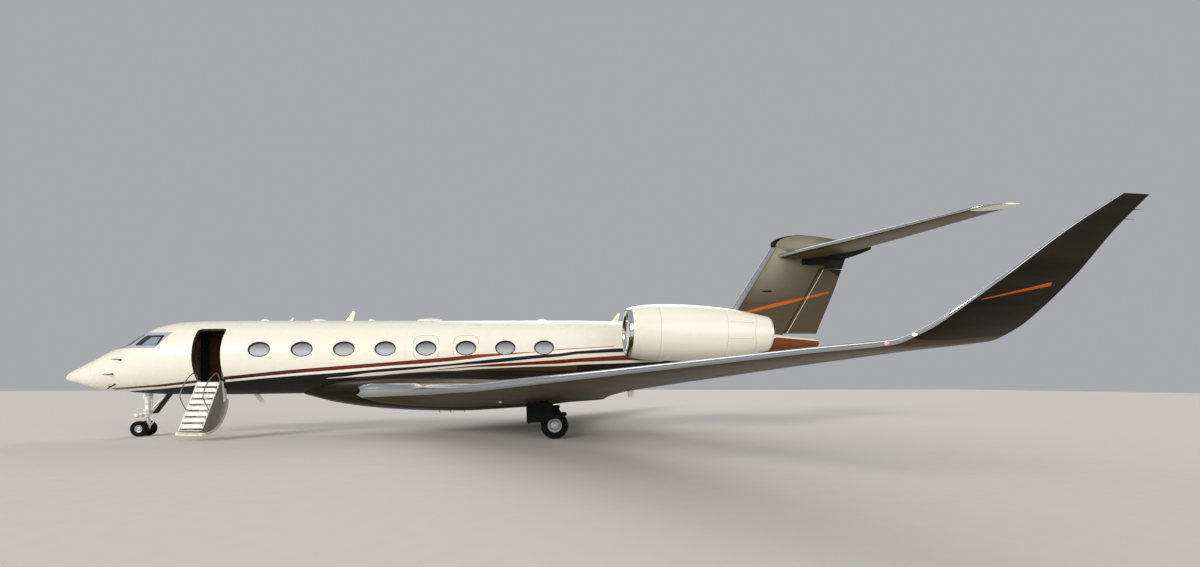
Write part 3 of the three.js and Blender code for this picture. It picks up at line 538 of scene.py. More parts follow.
class Recipe:
    """A finish in the making: a material, its shader and one method for every other node."""

    def __init__(self, name, **constants):
        self.material = bpy.data.materials.new(f"jet_{name}")
        self.material.use_nodes = True
        self.nodes, self.links = self.material.node_tree.nodes, self.material.node_tree.links
        self.shader = self.nodes["Principled BSDF"]
        self.plug(self.shader, {key.replace("_", " "): value for key, value in constants.items()})
        self.where = self.node("ShaderNodeTexCoord", out="Object")
        self.x, self.y, self.z = self.split(self.where)
        self.station = self.x + HALF_LENGTH
        self.height = self.z - (self.station - SIT_STATION) * SIT

    def plug(self, node, sockets):
        for key, value in sockets.items():
            if isinstance(value, Term):
                self.links.new(value.socket, node.inputs[key])
            elif isinstance(value, tuple) and len(value) == 3 and node.inputs[key].type == "RGBA":
                node.inputs[key].default_value = (*value, 1)
            else:
                node.inputs[key].default_value = value

    def node(self, kind, settings=None, sockets=None, out=0):
        """A node of a kind: settings first, among them a curve's points, then the values or links of
        its sockets."""
        made = self.nodes.new(kind)
        for key, value in (settings or {}).items():
            if key == "points":
                curve = made.mapping.curves[0].points
                curve[0].location, curve[-1].location = value[0], value[-1]
                for place, level in value[1:-1]:
                    curve.new(place, level)
                for point in curve:
                    point.handle_type = "VECTOR"
                made.mapping.update()
            else:
                setattr(made, key, value)
        self.plug(made, sockets or {})
        return Term(self, made.outputs[out])

    def split(self, vector):
        """The three numbers of a vector."""
        made = self.nodes.new("ShaderNodeSeparateXYZ")
        self.plug(made, {0: vector})
        return [Term(self, output) for output in made.outputs]

    def surface_place(self):
        """The two numbers that a piece carries for its place on the surface, as terms."""
        return self.split(self.node("ShaderNodeAttribute", {"attribute_name": "place"}, out="Vector"))[:2]

    def noise(self, scale, detail=3.0, stretch=None):
        """Cloudy noise about one half, in metres, stretched along the axes if asked."""
        where = self.where
        if stretch:
            where = self.node("ShaderNodeMapping", {}, {"Vector": where, "Scale": stretch})
        return self.node("ShaderNodeTexNoise", {}, {"Vector": where, "Scale": scale, "Detail": detail})

    def mix(self, share, first, second):
        """One colour turned into another by a share."""
        return self.node("ShaderNodeMix", {"data_type": "RGBA"}, {0: share, 6: first, 7: second}, 2)

    def bump(self, height, distance, strength=1.0):
        return self.node("ShaderNodeBump", {}, {"Height": height, "Distance": distance, "Strength": strength})

    def edge(self, points):
        """A line over the stations, given as (station, height) points joined by straight lines."""
        scaled = [(station / 30, level / 5) for station, level in points]
        place = self.station / 30
        return self.node("ShaderNodeFloatCurve", {"points": scaled}, {"Factor": 1.0, "Value": place}) * 5

    def done(self, **sockets):
        """The finished material, once its shader has its last links."""
        self.plug(self.shader, {key.replace("_", " "): value for key, value in sockets.items()})
        return self.material


# Livery edges on the fuselage's sides, from the top down, as (station, level height)
RED_TOP = [
    (1.6, 1.864), (2.42, 1.91), (3.5, 1.975), (4.54, 2.08), (5.71, 2.21), (7.7, 2.4), (9.63, 2.54),
    (11.16, 2.645), (13.14, 2.79), (14.11, 2.885), (15.2, 2.925), (16.0, 2.955), (17.0, 3.048),
    (18.93, 3.148),
]
RED_FOOT = [
    (1.6, 1.8), (2.5, 1.85), (3.5, 1.9), (4.5, 1.99), (5.68, 2.1), (6.93, 2.21), (8.18, 2.31), (9.61, 2.405),
    (11.15, 2.517), (12.18, 2.578), (13.14, 2.65), (14.11, 2.76), (15.17, 2.86), (15.98, 2.93), (17.0, 3.018),
    (18.93, 3.12),
]
DARK_TOP = [
    (1.6, 1.74), (2.63, 1.788), (3.37, 1.823), (4.45, 1.911), (5.64, 2.024), (6.9, 2.137), (8.16, 2.225),
    (9.59, 2.31), (11.14, 2.432), (12.18, 2.49), (13.14, 2.557), (14.38, 2.688), (15.17, 2.761),
    (15.98, 2.828), (16.98, 2.89), (17.54, 2.967), (18.93, 3.056), (19.32, 3.071), (20.6, 3.1),
]
DARK_FOOT = [
    (1.6, 1.0), (8.66, 1.0), (8.7, 2.02), (8.98, 2.123), (9.56, 2.16), (10.36, 2.278), (11.65, 2.364),
    (12.79, 2.46), (13.58, 2.522), (14.37, 2.56), (15.17, 2.627), (15.98, 2.709), (16.98, 2.781),
    (17.54, 2.86), (18.93, 2.922), (20.6, 2.96),
]
LOW_RED_TOP = [
    (12.2, 2.3), (12.79, 2.385), (13.84, 2.48), (14.9, 2.555), (15.98, 2.611), (16.98, 2.67), (17.54, 2.707),
    (18.93, 2.79), (19.49, 2.817), (20.07, 2.712), (20.66, 2.59),
]
LOW_RED_FOOT = [
    (12.2, 2.31), (12.79, 2.358), (13.84, 2.435), (14.9, 2.455), (15.98, 2.5), (16.98, 2.53), (17.54, 2.576),
    (18.93, 2.619), (19.5, 2.632), (20.66, 2.603),
]
BELLY_TOP = [
    (1.6, 1.2), (8.6, 1.2), (8.7, 2.08), (9.06, 2.106), (10.34, 2.168), (11.63, 2.232), (12.79, 2.28),
    (13.84, 2.36), (14.9, 2.402), (15.98, 2.436), (16.98, 2.448), (17.82, 2.495), (18.94, 2.52),
    (20.67, 2.57), (23.0, 2.95), (25.3, 3.4), (25.5, 3.52), (27.45, 3.38),
]
STRIPES_END = 20.6
CHAMPAGNE_SPAN = (9.75, 17.6)
TAIL_ORANGE = 24.7
TAIL_BROWN = tint(0x6E3512)

STEEL, WHITE, SOIL = tint(0xC4C7CC), tint(0xEDEBE4), tint(0x6B6455)


def colour(name, description, code):
    """A colour that a user may change, with its default as hexadecimal digits."""
    return bpy.props.FloatVectorProperty(
        name=name, description=description, default=tint(code), size=3, min=0.0, max=1.0, subtype="COLOR")


def length(name, description, default, high):
    """A length in metres that a user may change."""
    return bpy.props.FloatProperty(
        name=name, description=description, default=default, min=0.0005, max=high, precision=4,
        subtype="DISTANCE", unit="LENGTH")


class JetPaint(bpy.types.PropertyGroup):
    """Colours of the paintwork, glass and airstair"""

    ivory: colour("Ivory", "Body, nacelles and door", 0xF0EADB)
    cream: colour("Cream", "Lines between the stripes", 0xFAF6EA)
    red: colour("Red", "Front of the upper stripe and the lower stripe", 0x6A1B0B)
    orange: colour("Orange", "Rear of the upper stripe, and the stripes on fin and winglets", 0xB0521C)
    dark: colour("Dark", "Broad stripe and the keel ahead of the wing", 0x0E0C0B)
    bronze: colour("Bronze", "Belly, fairing and winglets", 0x161009)
    champagne: colour("Champagne", "Wings and the lower body over them", 0x463921)
    fin: colour("Fin", "Fin and rudder", 0x453C2E)
    tail: colour("Stabilizer", "Stabilizers and elevators", 0x5E5036)
    frame: colour("Window frame", "Bare surround of the cockpit's panes", 0xA9ADB8)
    # the shades darken from this colour towards the top of each pane: painted shade
    shade: colour("Shades", "Drawn cabin shades, at their lightest", 0xB4B8BE)
    stair: colour("Stair", "Treads, risers and stringers", 0xF6F4EE)


class JetSizes(bpy.types.PropertyGroup):
    """Sizes of small parts"""

    seal: length("Window seal", "Width of the black seal round each cabin window", 0.026, 0.05)
    rail: length("Handrail", "Radius of the airstair's handrails", 0.016, 0.03)
    groove: length("Groove", "Depth of the grooves round the tyres", 0.008, 0.02)
    joint: length("Panel joint", "Width of the drawn joints between panels", 0.014, 0.04)
    wick: length("Static wick", "Length of the static wicks", 0.13, 0.3)


class JetStage(bpy.types.PropertyGroup):
    """Sizes of the studio"""

    floor: bpy.props.FloatProperty(
        name="Floor", description="Half the floor's side", default=120.0, min=20.0, subtype="DISTANCE",
        unit="LENGTH")
    light: bpy.props.FloatProperty(
        name="Light", description="Strength of all lamps together", default=1.0, min=0.0, subtype="FACTOR")


def shade(name):
    """A paint colour as the user has set it."""
    return tuple(getattr(bpy.context.scene.jet_paint, name))


def size(name):
    """A small part's size as the user has set it."""
    return getattr(bpy.context.scene.jet_sizes, name)


def soiled(recipe, colour, amount=0.06):
    """A colour with faint streaks along the airflow and cloudy unevenness."""
    streaks = recipe.noise(2.2, 5.0, (0.35, 2.0, 3.0))
    return recipe.mix(streaks.over(0.35, 0.8) * amount, colour, SOIL)


def clear_coat(recipe, colour, metallic=0.0, rough=0.28, coat=0.45, gloss=0.3):
    """Paint under a clear coat, its gloss slightly uneven and its surface faintly rippled."""
    cloud = recipe.noise(1.7, 4.0)
    ripple = recipe.noise(9.0, 2.0)
    recipe.plug(recipe.shader, {"Coat Roughness": 0.08, "Specular IOR Level": gloss})
    return recipe.done(
        Base_Color=colour, Roughness=cloud * 0.12 + (rough - 0.06), Metallic=metallic,
        Coat_Weight=coat, Normal=recipe.bump(ripple, 0.0006, 0.35),
    )


def fuselage_paint():
    """Ivory body, red and dark stripes between cream lines, a bronze belly that turns champagne over
    the wing and orange-brown under the tail."""
    r = Recipe("fuselage_paint")
    station, height = r.station, r.height
    red_top, red_foot, dark_top = r.edge(RED_TOP), r.edge(RED_FOOT), r.edge(DARK_TOP)
    dark_foot, low_top, low_foot = r.edge(DARK_FOOT), r.edge(LOW_RED_TOP), r.edge(LOW_RED_FOOT)
    belly = r.edge(BELLY_TOP)
    first = height.between(red_foot, red_top) * station.between(1.7, 18.93)
    dark = height.between(dark_foot, dark_top) * station.between(2.2, STRIPES_END)
    second = height.between(low_foot, low_top) * (station < STRIPES_END)
    below = height < belly
    slant = (station - CHAMPAGNE_SPAN[0]) - (height - 2.0) * 1.6
    champagne = (slant > 0.0) * (station < CHAMPAGNE_SPAN[1])
    under = r.mix(station > TAIL_ORANGE, r.mix(champagne, shade("bronze"), shade("champagne")), TAIL_BROWN)
    stripe = r.mix((station - 6.0).over(0.0, 3.5), tint(0x351108), shade("red"))
    stripe = r.mix((station - 13.2).over(0.0, 3.0), stripe, shade("orange"))
    z = r.z
    frame = z.between(3.022, 3.575) * (station > 2.1) * (station - (z - 3.019) * 0.747 < 3.588)
    paint = r.mix(first, r.mix(frame, shade("ivory"), shade("frame")), stripe)
    paint = r.mix(height.between(dark_top, red_foot) * (station < STRIPES_END), paint, shade("cream"))
    paint = r.mix(dark, paint, shade("dark"))
    paint = r.mix(second, paint, shade("red"))
    paint = r.mix(below, paint, under)
    deep = dark + below
    metal = below * champagne * 0.3
    return clear_coat(r, soiled(r, paint, 0.025), metal, 0.28 + deep * 0.3, 0.45 - deep * 0.45)


def metallic_paint(name, base, rough, edge, tip, marks, metal, line=0.006):
    """Metallic paint of one colour with fine flakes. Where the piece's place on the surface is ahead
    of a chord share it is bare polished metal with a dark line behind it, beyond a span it takes the
    tip's colour, and marks is a function that adds stripes to the paint from chord share and span."""
    r = Recipe(name)
    flakes, base = r.noise(900.0, 0.0), shade(base)
    paint = r.mix(flakes.over(0.3, 0.75) * 0.2, base, tuple(min(c * 1.7, 1) for c in base))
    share, span = r.surface_place()
    if tip:
        outer, tone = span > tip[0], shade(tip[1]) if isinstance(tip[1], str) else tip[1]
        paint = r.mix(outer, paint, tone)
        metal = outer * (0.1 - metal) + metal
    if marks:
        paint = marks(r, paint, share, span)
    paint = soiled(r, paint, 0.08)
    if edge:
        bare = share < edge
        behind = share.between(edge, edge + line)
        paint = r.mix(behind * 0.8, r.mix(bare, paint, STEEL), tint(0x0C0B0A))
        metal, rough = bare * (1.0 - metal) + metal, rough - bare * (rough - 0.17)
    return clear_coat(r, paint, metal, rough, 0.0, 0.12)


def worked(name, base, rough, metallic, grain, depth, wear, constants=None):
    """A worked surface of one colour, or of one of the user's: cloudy wear in its tone and gloss, and
    a grain of a fineness and depth."""
    r = Recipe(name, **(constants or {}))
    base = shade(base) if isinstance(base, str) else base
    wide, fine = r.noise(3.0, 5.0), r.noise(grain)
    worn = r.mix(wide.over(0.3, 0.75) * wear * 2, base, tuple(c * 0.45 for c in base))
    return r.done(
        Base_Color=r.mix(fine * wear * 2, worn, tuple(min(c * 1.7 + 0.001, 1.0) for c in base)),
        Roughness=wide * 0.2 + (rough - 0.1), Metallic=metallic,
        Normal=r.bump(fine, depth, 0.6),
    )


def cabin_wood():
    """Dark polished veneer: long wavy grain lines under a thin lacquer."""
    r = Recipe("cabin_wood")
    grain = r.node("ShaderNodeTexWave", {"wave_profile": "SAW"}, {
        "Vector": r.node("ShaderNodeMapping", {}, {"Vector": r.where, "Scale": (1.0, 1.0, 0.25)}),
        "Scale": 7.0, "Distortion": 9.0, "Detail": 3.0}, "Fac")
    tone = r.mix(grain, tint(0x3A2212), tint(0x6E4524))
    return r.done(Base_Color=tone, Roughness=grain * 0.1 + 0.25, Coat_Weight=0.4)


def cabin_carpet():
    """Short looped pile in a warm grey-brown."""
    r = Recipe("cabin_carpet", Sheen_Weight=0.3)
    loops = r.node("ShaderNodeTexVoronoi", {}, {"Vector": r.where, "Scale": 260.0}, "Distance")
    tone = r.mix(loops * 1.2, tint(0x6B6053), tint(0x3B342C))
    return r.done(Base_Color=tone, Roughness=0.95, Normal=r.bump(loops, 0.002))


def shade_glass():
    """Cabin panes with their shades drawn: a pale pleated shade behind clear acrylic, darkened towards
    the top by painted shade."""
    r = Recipe("shade_glass", Coat_Roughness=0.03, Specular_IOR_Level=0.2)
    low = (r.height - (WINDOW["height"] - 0.26)).over(0.0, 0.52)
    pleats = r.node("ShaderNodeTexWave", {"bands_direction": "Z"}, {"Vector": r.where, "Scale": 19.0}, "Fac")
    # painted shade: the cloth turns dark grey towards the top of the pane
    cloth_with_painted_shade = r.mix(low.over(0.3, 0.95), shade("shade"), tint(0x2E3336))
    return r.done(
        Base_Color=r.mix(pleats * 0.06, cloth_with_painted_shade, WHITE), Roughness=0.55, Coat_Weight=0.06,
        Normal=r.bump(pleats, 0.0008, 0.3))


def side_glass():
    """Cockpit side pane: a broad black border, and a pale sky reflected in the clear glass within."""
    r = Recipe("side_glass", Coat_Roughness=0.03)
    z = r.z - 3.117
    clear = (r.station > z * 1.02 + 3.05) * (z < 0.285) * (r.station < z * 0.2 + 3.605)
    cloud = r.noise(2.6, 3.0)
    pane = r.mix(cloud, tint(0x6D7F8B), tint(0x93A3AB))
    tone = r.mix(clear, tint(0x0A0E14), pane)
    return r.done(Base_Color=tone, Roughness=cloud * 0.05 + 0.1, Coat_Weight=0.2)


def cockpit_glass():
    """Deep blue-black laminated glass with the faint cloudy tint of its heated film."""
    r = Recipe("cockpit_glass", Coat_Roughness=0.02)
    film = r.noise(1.4, 2.0)
    return r.done(
        Base_Color=r.mix(film, tint(0x10151F), tint(0x232B3C)), Roughness=film * 0.05 + 0.1, Coat_Weight=0.2)


def lamp_glow(name, glow, power):
    """A lit lamp: a coloured lens with paler spots."""
    r = Recipe(name, Emission_Strength=power)
    return r.done(Base_Color=glow, Emission_Color=r.mix(r.noise(30.0, 1.0), glow, WHITE), Roughness=0.15)


def winglet_marks(r, paint, share, span):
    """The thin slanting stripe across the winglet, which tapers towards its front."""
    rise = r.z - (r.station - 21.45) * 0.22 - 2.864
    half = (r.station - 21.2) * 0.02
    return r.mix((abs(rise) < half) * r.station.between(21.4, 22.25) * (span > 14.5), paint, shade("orange"))


def fin_marks(r, paint, share, span):
    """A painted highlight on the top and front, the stripe that climbs across fin and rudder, the pale hinge
    line ahead of the rudder and painted shadow in black under the stabilizer's root."""
    # painted highlight: lighter towards the fin's top and front
    glow = (r.z - 5.0).over(0.0, 1.9) * (share * -1.0 + 0.75).over(0.0, 0.6)
    paint = r.mix(glow * 0.7, paint, tint(0xA09A86))
    rise = (r.station - 24.32) * 0.246 + 4.655
    half = 0.07 - abs(r.station - 25.6) * 0.016
    paint = r.mix((abs(r.z - rise) < half) * (r.station < 27.92), paint, shade("orange"))
    hinge = abs(r.station - (r.z - 5.249) * 0.6055 - 26.935) < 0.011
    paint = r.mix(hinge * r.z.between(3.85, 6.45), paint, tint(0xCFC8B6))
    # painted shadow: black under the stabilizer's root
    corner = (r.z + r.station * 0.455 > 19.12) * (r.station > 27.7) + (r.z > 6.6) * (r.station > 26.7)
    return r.mix(corner.over(0.0, 1.0), paint, shade("dark"))


def bullet_marks(r, paint, share, span):
    """Flank lightened towards the front by a painted highlight, a black cap strip along the top, and
    painted shadow in black on the underside, below a line that climbs aft.
    """
    # painted highlight: the flank is lighter towards its front
    paint = r.mix((r.station - 27.6).over(1.6, -0.6) * 0.6, paint, tint(0xA09A86))
    cap = (abs(r.y) < 0.115) * (r.z > 7.3)
    # painted shadow: the underside below a line that climbs aft is black
    under = (r.z - (r.station - 26.71) * 0.15 < 7.02) * (r.station > 26.2)
    return r.mix((cap + under).over(0.0, 1.0), paint, shade("dark"))


SLEEVE = (3.35, 4.32)


def cowl_paint():
    """Nacelle paint: ivory with a bare chrome lip, thin panel joints and the outline of the reverser's
    sleeve on the flank."""
    r = Recipe("cowl_paint")
    back = r.station - ENGINE["lip"]
    lip = (back < 0.15) + (back > 5.0) * 0.6
    rise, half = r.z - ENGINE["z"], size("joint") / 2
    joints = (abs(back - 1.05) < half) + (abs(back - SLEEVE[0]) < half)
    flank = (abs(rise - 0.31) < half) + (abs(rise + 0.24) < half)
    rear = (abs(back - SLEEVE[1] - abs(rise) * 0.25) < half) * (abs(rise) < 0.66)
    sleeve = flank * back.between(*SLEEVE) + rear
    paint = soiled(r, r.mix((joints + sleeve) * 0.45, shade("ivory"), tint(0x5A554B)), 0.06)
    return clear_coat(r, r.mix(lip, paint, tint(0xDDE0E4)), lip, 0.26 - lip * 0.16)


def door_paint():
    """The ivory of the door leaf and antennas, a little more soiled than the body."""
    r = Recipe("door_paint")
    return clear_coat(r, soiled(r, shade("ivory"), 0.14), rough=0.3)


DULL = {"Specular_IOR_Level": 0.15}
# Worked surfaces: colour, roughness, metal, fineness and depth of the grain, wear, constants
WORKED = {
    "polished_metal": (STEEL, 0.18, 1.0, 60.0, 0.0002, 0.04),
    "engine_metal": (tint(0x8C8E91), 0.35, 1.0, 90.0, 0.0003, 0.12),
    # fan blades far darker than bare metal: painted shade inside the intake
    "fan_metal": (tint(0x3D4045), 0.32, 0.9, 90.0, 0.0003, 0.1),
    "wheel_alloy": (tint(0xC9CCD0), 0.32, 0.4, 120.0, 0.0003, 0.1),
    "dark_metal": (tint(0x141416), 0.5, 0.2, 80.0, 0.0004, 0.12, DULL),
    # dark fill of the wheel pockets: painted shade of the holes
    "inner_dark": (tint(0x2A2722), 0.8, 0.0, 30.0, 0.001, 0.1, DULL),
    "tyre_rubber": (tint(0x121213), 0.9, 0.0, 60.0, 0.001, 0.12, DULL),
    "gear_white": (WHITE, 0.4, 0.0, 60.0, 0.0004, 0.2),
    "stair_white": ("stair", 0.42, 0.0, 160.0, 0.0005, 0.06),
    # a grey copy of the stair's white for the aft stringer: painted shade
    "stair_side": (tint(0x7B7567), 0.5, 0.1, 90.0, 0.0005, 0.1),
    "leaf_liner": (tint(0xA39D8E), 0.6, 0.0, 70.0, 0.0006, 0.1),
    "tread_grip": (tint(0xB9B7B0), 0.85, 0.0, 420.0, 0.002, 0.15),
    "black_trim": (tint(0x0E0E10), 0.5, 0.0, 90.0, 0.0004, 0.08, DULL),
    "frame_grey": (tint(0xB9BBB8), 0.4, 0.4, 90.0, 0.0003, 0.08),
    "lens_clear": (tint(0xDDE3E8), 0.08, 0.1, 40.0, 0.0002, 0.02, {"Coat_Weight": 1.0}),
    "studio_floor": (tint(0xDAD6CC), 0.85, 0.0, 6.0, 0.001, 0.03),
    # dark liner: painted shade of the unlit cabin, seen through the glass and doorway and on the rims of the
    # skins' openings
    "cabin_liner": (tint(0x3B352C), 0.7, 0.0, 60.0, 0.0005, 0.06),
}
# Metallic paints: colour, roughness, share of bare edge, tip's span and colour, marks, metal, line
METALLIC = {
    "belly_paint": ("bronze", 0.3, 0.0, None, None, 0.1),
    "wing_paint": ("champagne", 0.4, 0.03, (14.28, "bronze"), winglet_marks, 0.25),
    "fin_paint": ("fin", 0.36, 0.06, None, fin_marks, 0.3),
    "tail_paint": ("tail", 0.42, 0.03, (5.72, WHITE), None, 0.2, 0.03),
    "bullet_paint": ("fin", 0.36, 0.0, None, bullet_marks, 0.3),
}
LAMPS = {"lamp_red": (tint(0xC01408), 1.2), "lamp_white": (tint(0xFFF6E0), 1.5)}
SPECIAL = {made.__name__: made for made in (
    fuselage_paint, cowl_paint, door_paint, cabin_wood, cabin_carpet, shade_glass, cockpit_glass, side_glass)}


def materials(names):
    """Materials by the names of their finishes, given in one line, each made once."""
    kinds = ((worked, WORKED), (metallic_paint, METALLIC), (lamp_glow, LAMPS))
    found = []
    for name in names.split():
        ready = bpy.data.materials.get(f"jet_{name}")
        if not ready:
            ready = SPECIAL[name]() if name in SPECIAL else next(
                make(name, *table[name]) for make, table in kinds if name in table)
        found.append(ready)
    return found


def window_field(station, angle):
    """Signed distance to the nearest cabin window: the offset from its middle, each way over its
    half size, is one on the oval's rim."""
    crown, keel, _ = hull_lines(station)
    height = (crown + keel) / 2 + (crown - keel) / 2 * np.sin(angle)
    index = np.clip(np.round((station - WINDOW["first"]) / WINDOW["pitch"]), 0, WINDOW["count"] - 1)
    off = station - WINDOW["first"] - index * WINDOW["pitch"]
    reach = np.hypot(off / (WINDOW["wide"] / 2), (height - WINDOW["height"]) / (WINDOW["tall"] / 2))
    return (reach - 1) * WINDOW["tall"] / 2


def doorway_field(station, angle, ease=0.0, corner=0.12):
    """Signed distance to the doorway, a rectangle with rounded corners in station and girth."""
    middle = math.radians((DOOR["top"] + DOOR["bottom"]) / 2)
    wide = (DOOR["back"] - DOOR["front"]) / 2 - ease - corner
    tall = math.radians(DOOR["bottom"] - DOOR["top"]) / 2 * GIRTH - ease - corner
    across = np.abs(station - (DOOR["front"] + DOOR["back"]) / 2) - wide
    up = np.abs(angle - middle) * GIRTH - tall
    outside = np.hypot(np.maximum(across, 0), np.maximum(up, 0))
    return outside + np.minimum(np.maximum(across, up), 0) - corner


SIDE_PANE = rounded(SIDE_GLASS, 0.07, 5)
FRONT_PANE = rounded(FRONT_GLASS, 0.06, 5)


def side_glass_field(station, angle):
    """Signed distance to the cockpit's side panes in station and parked height."""
    return outline_distance(SIDE_PANE, station, hull_point(station, angle)[..., 2])


def front_glass_field(station, angle):
    """Signed distance to the windshields in distance from the centreline and parked height."""
    point = hull_point(station, angle)
    return outline_distance(FRONT_PANE, np.abs(point[..., 1]), point[..., 2])


def open_field(station, angle):
    """No opening at all."""
    return np.ones(np.broadcast(station, angle).shape)


ROUND = (-90, 270)
SEAM = 0.001
SIDE_ANGLES = {"right": (-9, 27), "left": (153, 189)}


class JET_OT_fuselage(bpy.types.Operator):
    """Skins of the fuselage with its window, windshield and door openings"""

    bl_idname = "jet.fuselage"
    bl_label = "Fuselage skins"

    def execute(self, context):
        def panes(first, count):
            middles = WINDOW["first"] + np.arange(first, first + count) * WINDOW["pitch"]
            return [stop for middle in middles for stop in ((middle - 0.4, 0.036), (middle + 0.4, 0.14))]

        def openings(*fields):
            return lambda station, angle: np.minimum.reduce([field(station, angle) for field in fields])

        fine = {
            "cockpit": ((2, 1.7), (178, 4)),
            "door": ((-9, 1.6), (27, 4), (130, 1.6), (228, 4)),
            "cabin": ((-9, 1.6), (27, 4), (153, 1.6), (189, 4))}
        around = {name: spread((-90, 4), *stops, (270, 0)) for name, stops in fine.items()}
        cockpit = spread((RADOME_END, 0.05), (1.3, 0.028), (3.85, 0.06), (COCKPIT_END - SEAM, 0))
        ahead = spread((COCKPIT_END, 0.1), (4.72, 0.03), (5.74, 0.1), *panes(0, 4), (CABIN_JOINT - SEAM, 0))
        behind = spread((CABIN_JOINT, 0.1), *panes(4, 4), (CABIN_END - SEAM, 0))
        rear = spread((CABIN_END, 0.14), (TAIL_JOINT - SEAM, 0))
        self.solid("nose_radome_skin", np.linspace(0, 1, 26) ** 2 * RADOME_END, "ivory_paint", "nose_radome")
        for name, stations, angles, field, node, wall in (
                ("cockpit_skin", cockpit, around["cockpit"], openings(side_glass_field, front_glass_field),
                 "cockpit_shell", WALL),
                ("cabin_forward_skin", ahead, around["door"], openings(window_field, doorway_field),
                 "cabin_shell_forward", WALL),
                ("cabin_aft_skin", behind, around["cabin"], window_field, "cabin_shell_aft", WALL),
                ("aft_fuselage_skin", rear, np.linspace(*ROUND, 91), open_field, "aft_fuselage", AFT_WALL)):
            shell = trimmed(stations, radians(angles), field)
            shell.made(name, "ivory_paint", "fuselage_paint cabin_liner", [node], wall=wall)
        self.solid("tail_cone_skin", np.linspace(TAIL_JOINT, TAIL_END, 24), "bronze_paint", "tail_cone")
        return {"FINISHED"}

    def solid(self, name, stations, slot, node):
        """A closed end of the fuselage."""
        points = hull_point(stations[:, None], radians(np.linspace(*ROUND, 97)[:-1]))
        Form().grid(points, caps=True).made(name, slot, "fuselage_paint cabin_liner", [node])


class JET_OT_glazing(bpy.types.Operator):
    """Cockpit panes and cabin panes with their seals and frames"""

    bl_idname = "jet.glazing"
    bl_label = "Windows"

    def execute(self, context):
        fine = spread((1.3, 0.02), (3.85, 0))
        cockpit = (("windshield", front_glass_field, "cockpit_glass"),
                   ("side_window", side_glass_field, "side_glass"))
        for side, (low, high) in {"right": (0, 92), "left": (88, 180)}.items():
            angles = radians(spread((low, 1.2), (high, 0)))
            for name, field, look in cockpit:
                half = lambda s, a: np.maximum(field(s, a), (a - math.pi / 2) * SIDES[side] * 1.3)
                pane = trimmed(fine, angles, lambda s, a: half(s, a) + 0.012, inside=True, grow=-0.008)
                node = f"{name}_{side}"
                pane.made(f"{name}_pane_{side}", "cockpit_glass", look, [node], wall=0.02)
                ring = lambda s, a: np.abs(half(s, a) + 0.004) - 0.012
                seal = trimmed(fine, angles, ring, inside=True, grow=-0.003)
                seal.made(f"{name}_seal_{side}", "dark_panel", "black_trim", wall=0.03)
        middles = WINDOW["first"] + np.arange(WINDOW["count"]) * WINDOW["pitch"]
        long = np.unique(middles[:, None] + np.linspace(-0.4, 0.4, 31))
        # the black seal grows to twice its width over the upper half of each window: the real seal, widened
        # into painted shade under the opening's upper edge
        half = lambda a: size("seal") / 2 * (1 + np.clip((np.sin(a) - 0.16) / 0.2, 0, 1))
        for side, (low, high) in SIDE_ANGLES.items():
            angles = radians(np.linspace(low, high, 30))
            pane = trimmed(long, angles, lambda s, a: window_field(s, a) + 0.01, inside=True, grow=-0.03)
            node = f"cabin_windows_{side}"
            pane.made(f"cabin_panes_{side}", "window_shade", "shade_glass", [node], wall=0.01)
            rim = lambda s, a: np.abs(window_field(s, a) + half(a)) - half(a)
            seal = trimmed(long, angles, rim, inside=True, grow=-0.004)
            seal.made(f"cabin_seals_{side}", "dark_panel", "black_trim", wall=0.03)
        return {"FINISHED"}


def wing_rows(places):
    """Wing and winglet lines at places out along the span: cubics through the tables' rows, held
    straight between the kinks by rows added on the straight lines."""
    held = [(y, *straight(WING, y)) for y in (2.9, 5.15, 5.65, 9.45, 9.95, 12.9)]
    inner = (0.9, 9.8, 1.57, 8.7, 2.0, 0.095, 0)
    table = sorted([inner, *WING, *WINGLET, *held])
    places = np.asarray(places, float)
    return np.column_stack([places, smooth(table, places)])


def half_thick(share, thickness):
    """Half the thickness of a symmetric section over its chord: a square root for the round nose
    and powers of the chord share for the taper behind."""
    x = np.asarray(share, float)
    body = 0.2969 * np.sqrt(x) - 0.126 * x - 0.3516 * x**2 + 0.2843 * x**3 - 0.1015 * x**4
    return 5 * thickness * body + 0.0015


FORE = 0.6


def section(cut, thickness, count=20):
    """Loops round sections, a row for each: chord shares and half thicknesses with their sign, from
    the cut over the top, round the nose and back underneath. Up to a fixed share all loops agree."""
    cut = np.atleast_1d(cut)[:, None]
    fore = np.broadcast_to(FORE * np.linspace(0, 1, count) ** 2, (len(cut), count))
    share = np.concatenate([fore, FORE + (cut - FORE) * np.linspace(0, 1, 7)[1:]], 1)
    half = half_thick(share, np.atleast_1d(thickness)[:, None])
    half[:, 0] = 0
    return np.concatenate([share[:, ::-1], share[:, 1:]], 1), np.concatenate([half[:, ::-1], -half[:, 1:]], 1)


def tail_section(start, end, thickness, nose=9):
    """Loops round the part of a section behind a hinge line, with a half-round nose: from the edge
    over the top, round the nose and back underneath."""
    radius = half_thick(start, thickness)
    back = start + (end - start) * np.linspace(0, 1, 10)[1:]
    turn = np.linspace(math.pi / 2, 3 * math.pi / 2, nose)
    share = np.concatenate([back[::-1], start + radius * np.cos(turn), back])
    over = half_thick(back, thickness)
    half = np.concatenate([over[::-1], radius * np.sin(turn), -over])
    return share, half


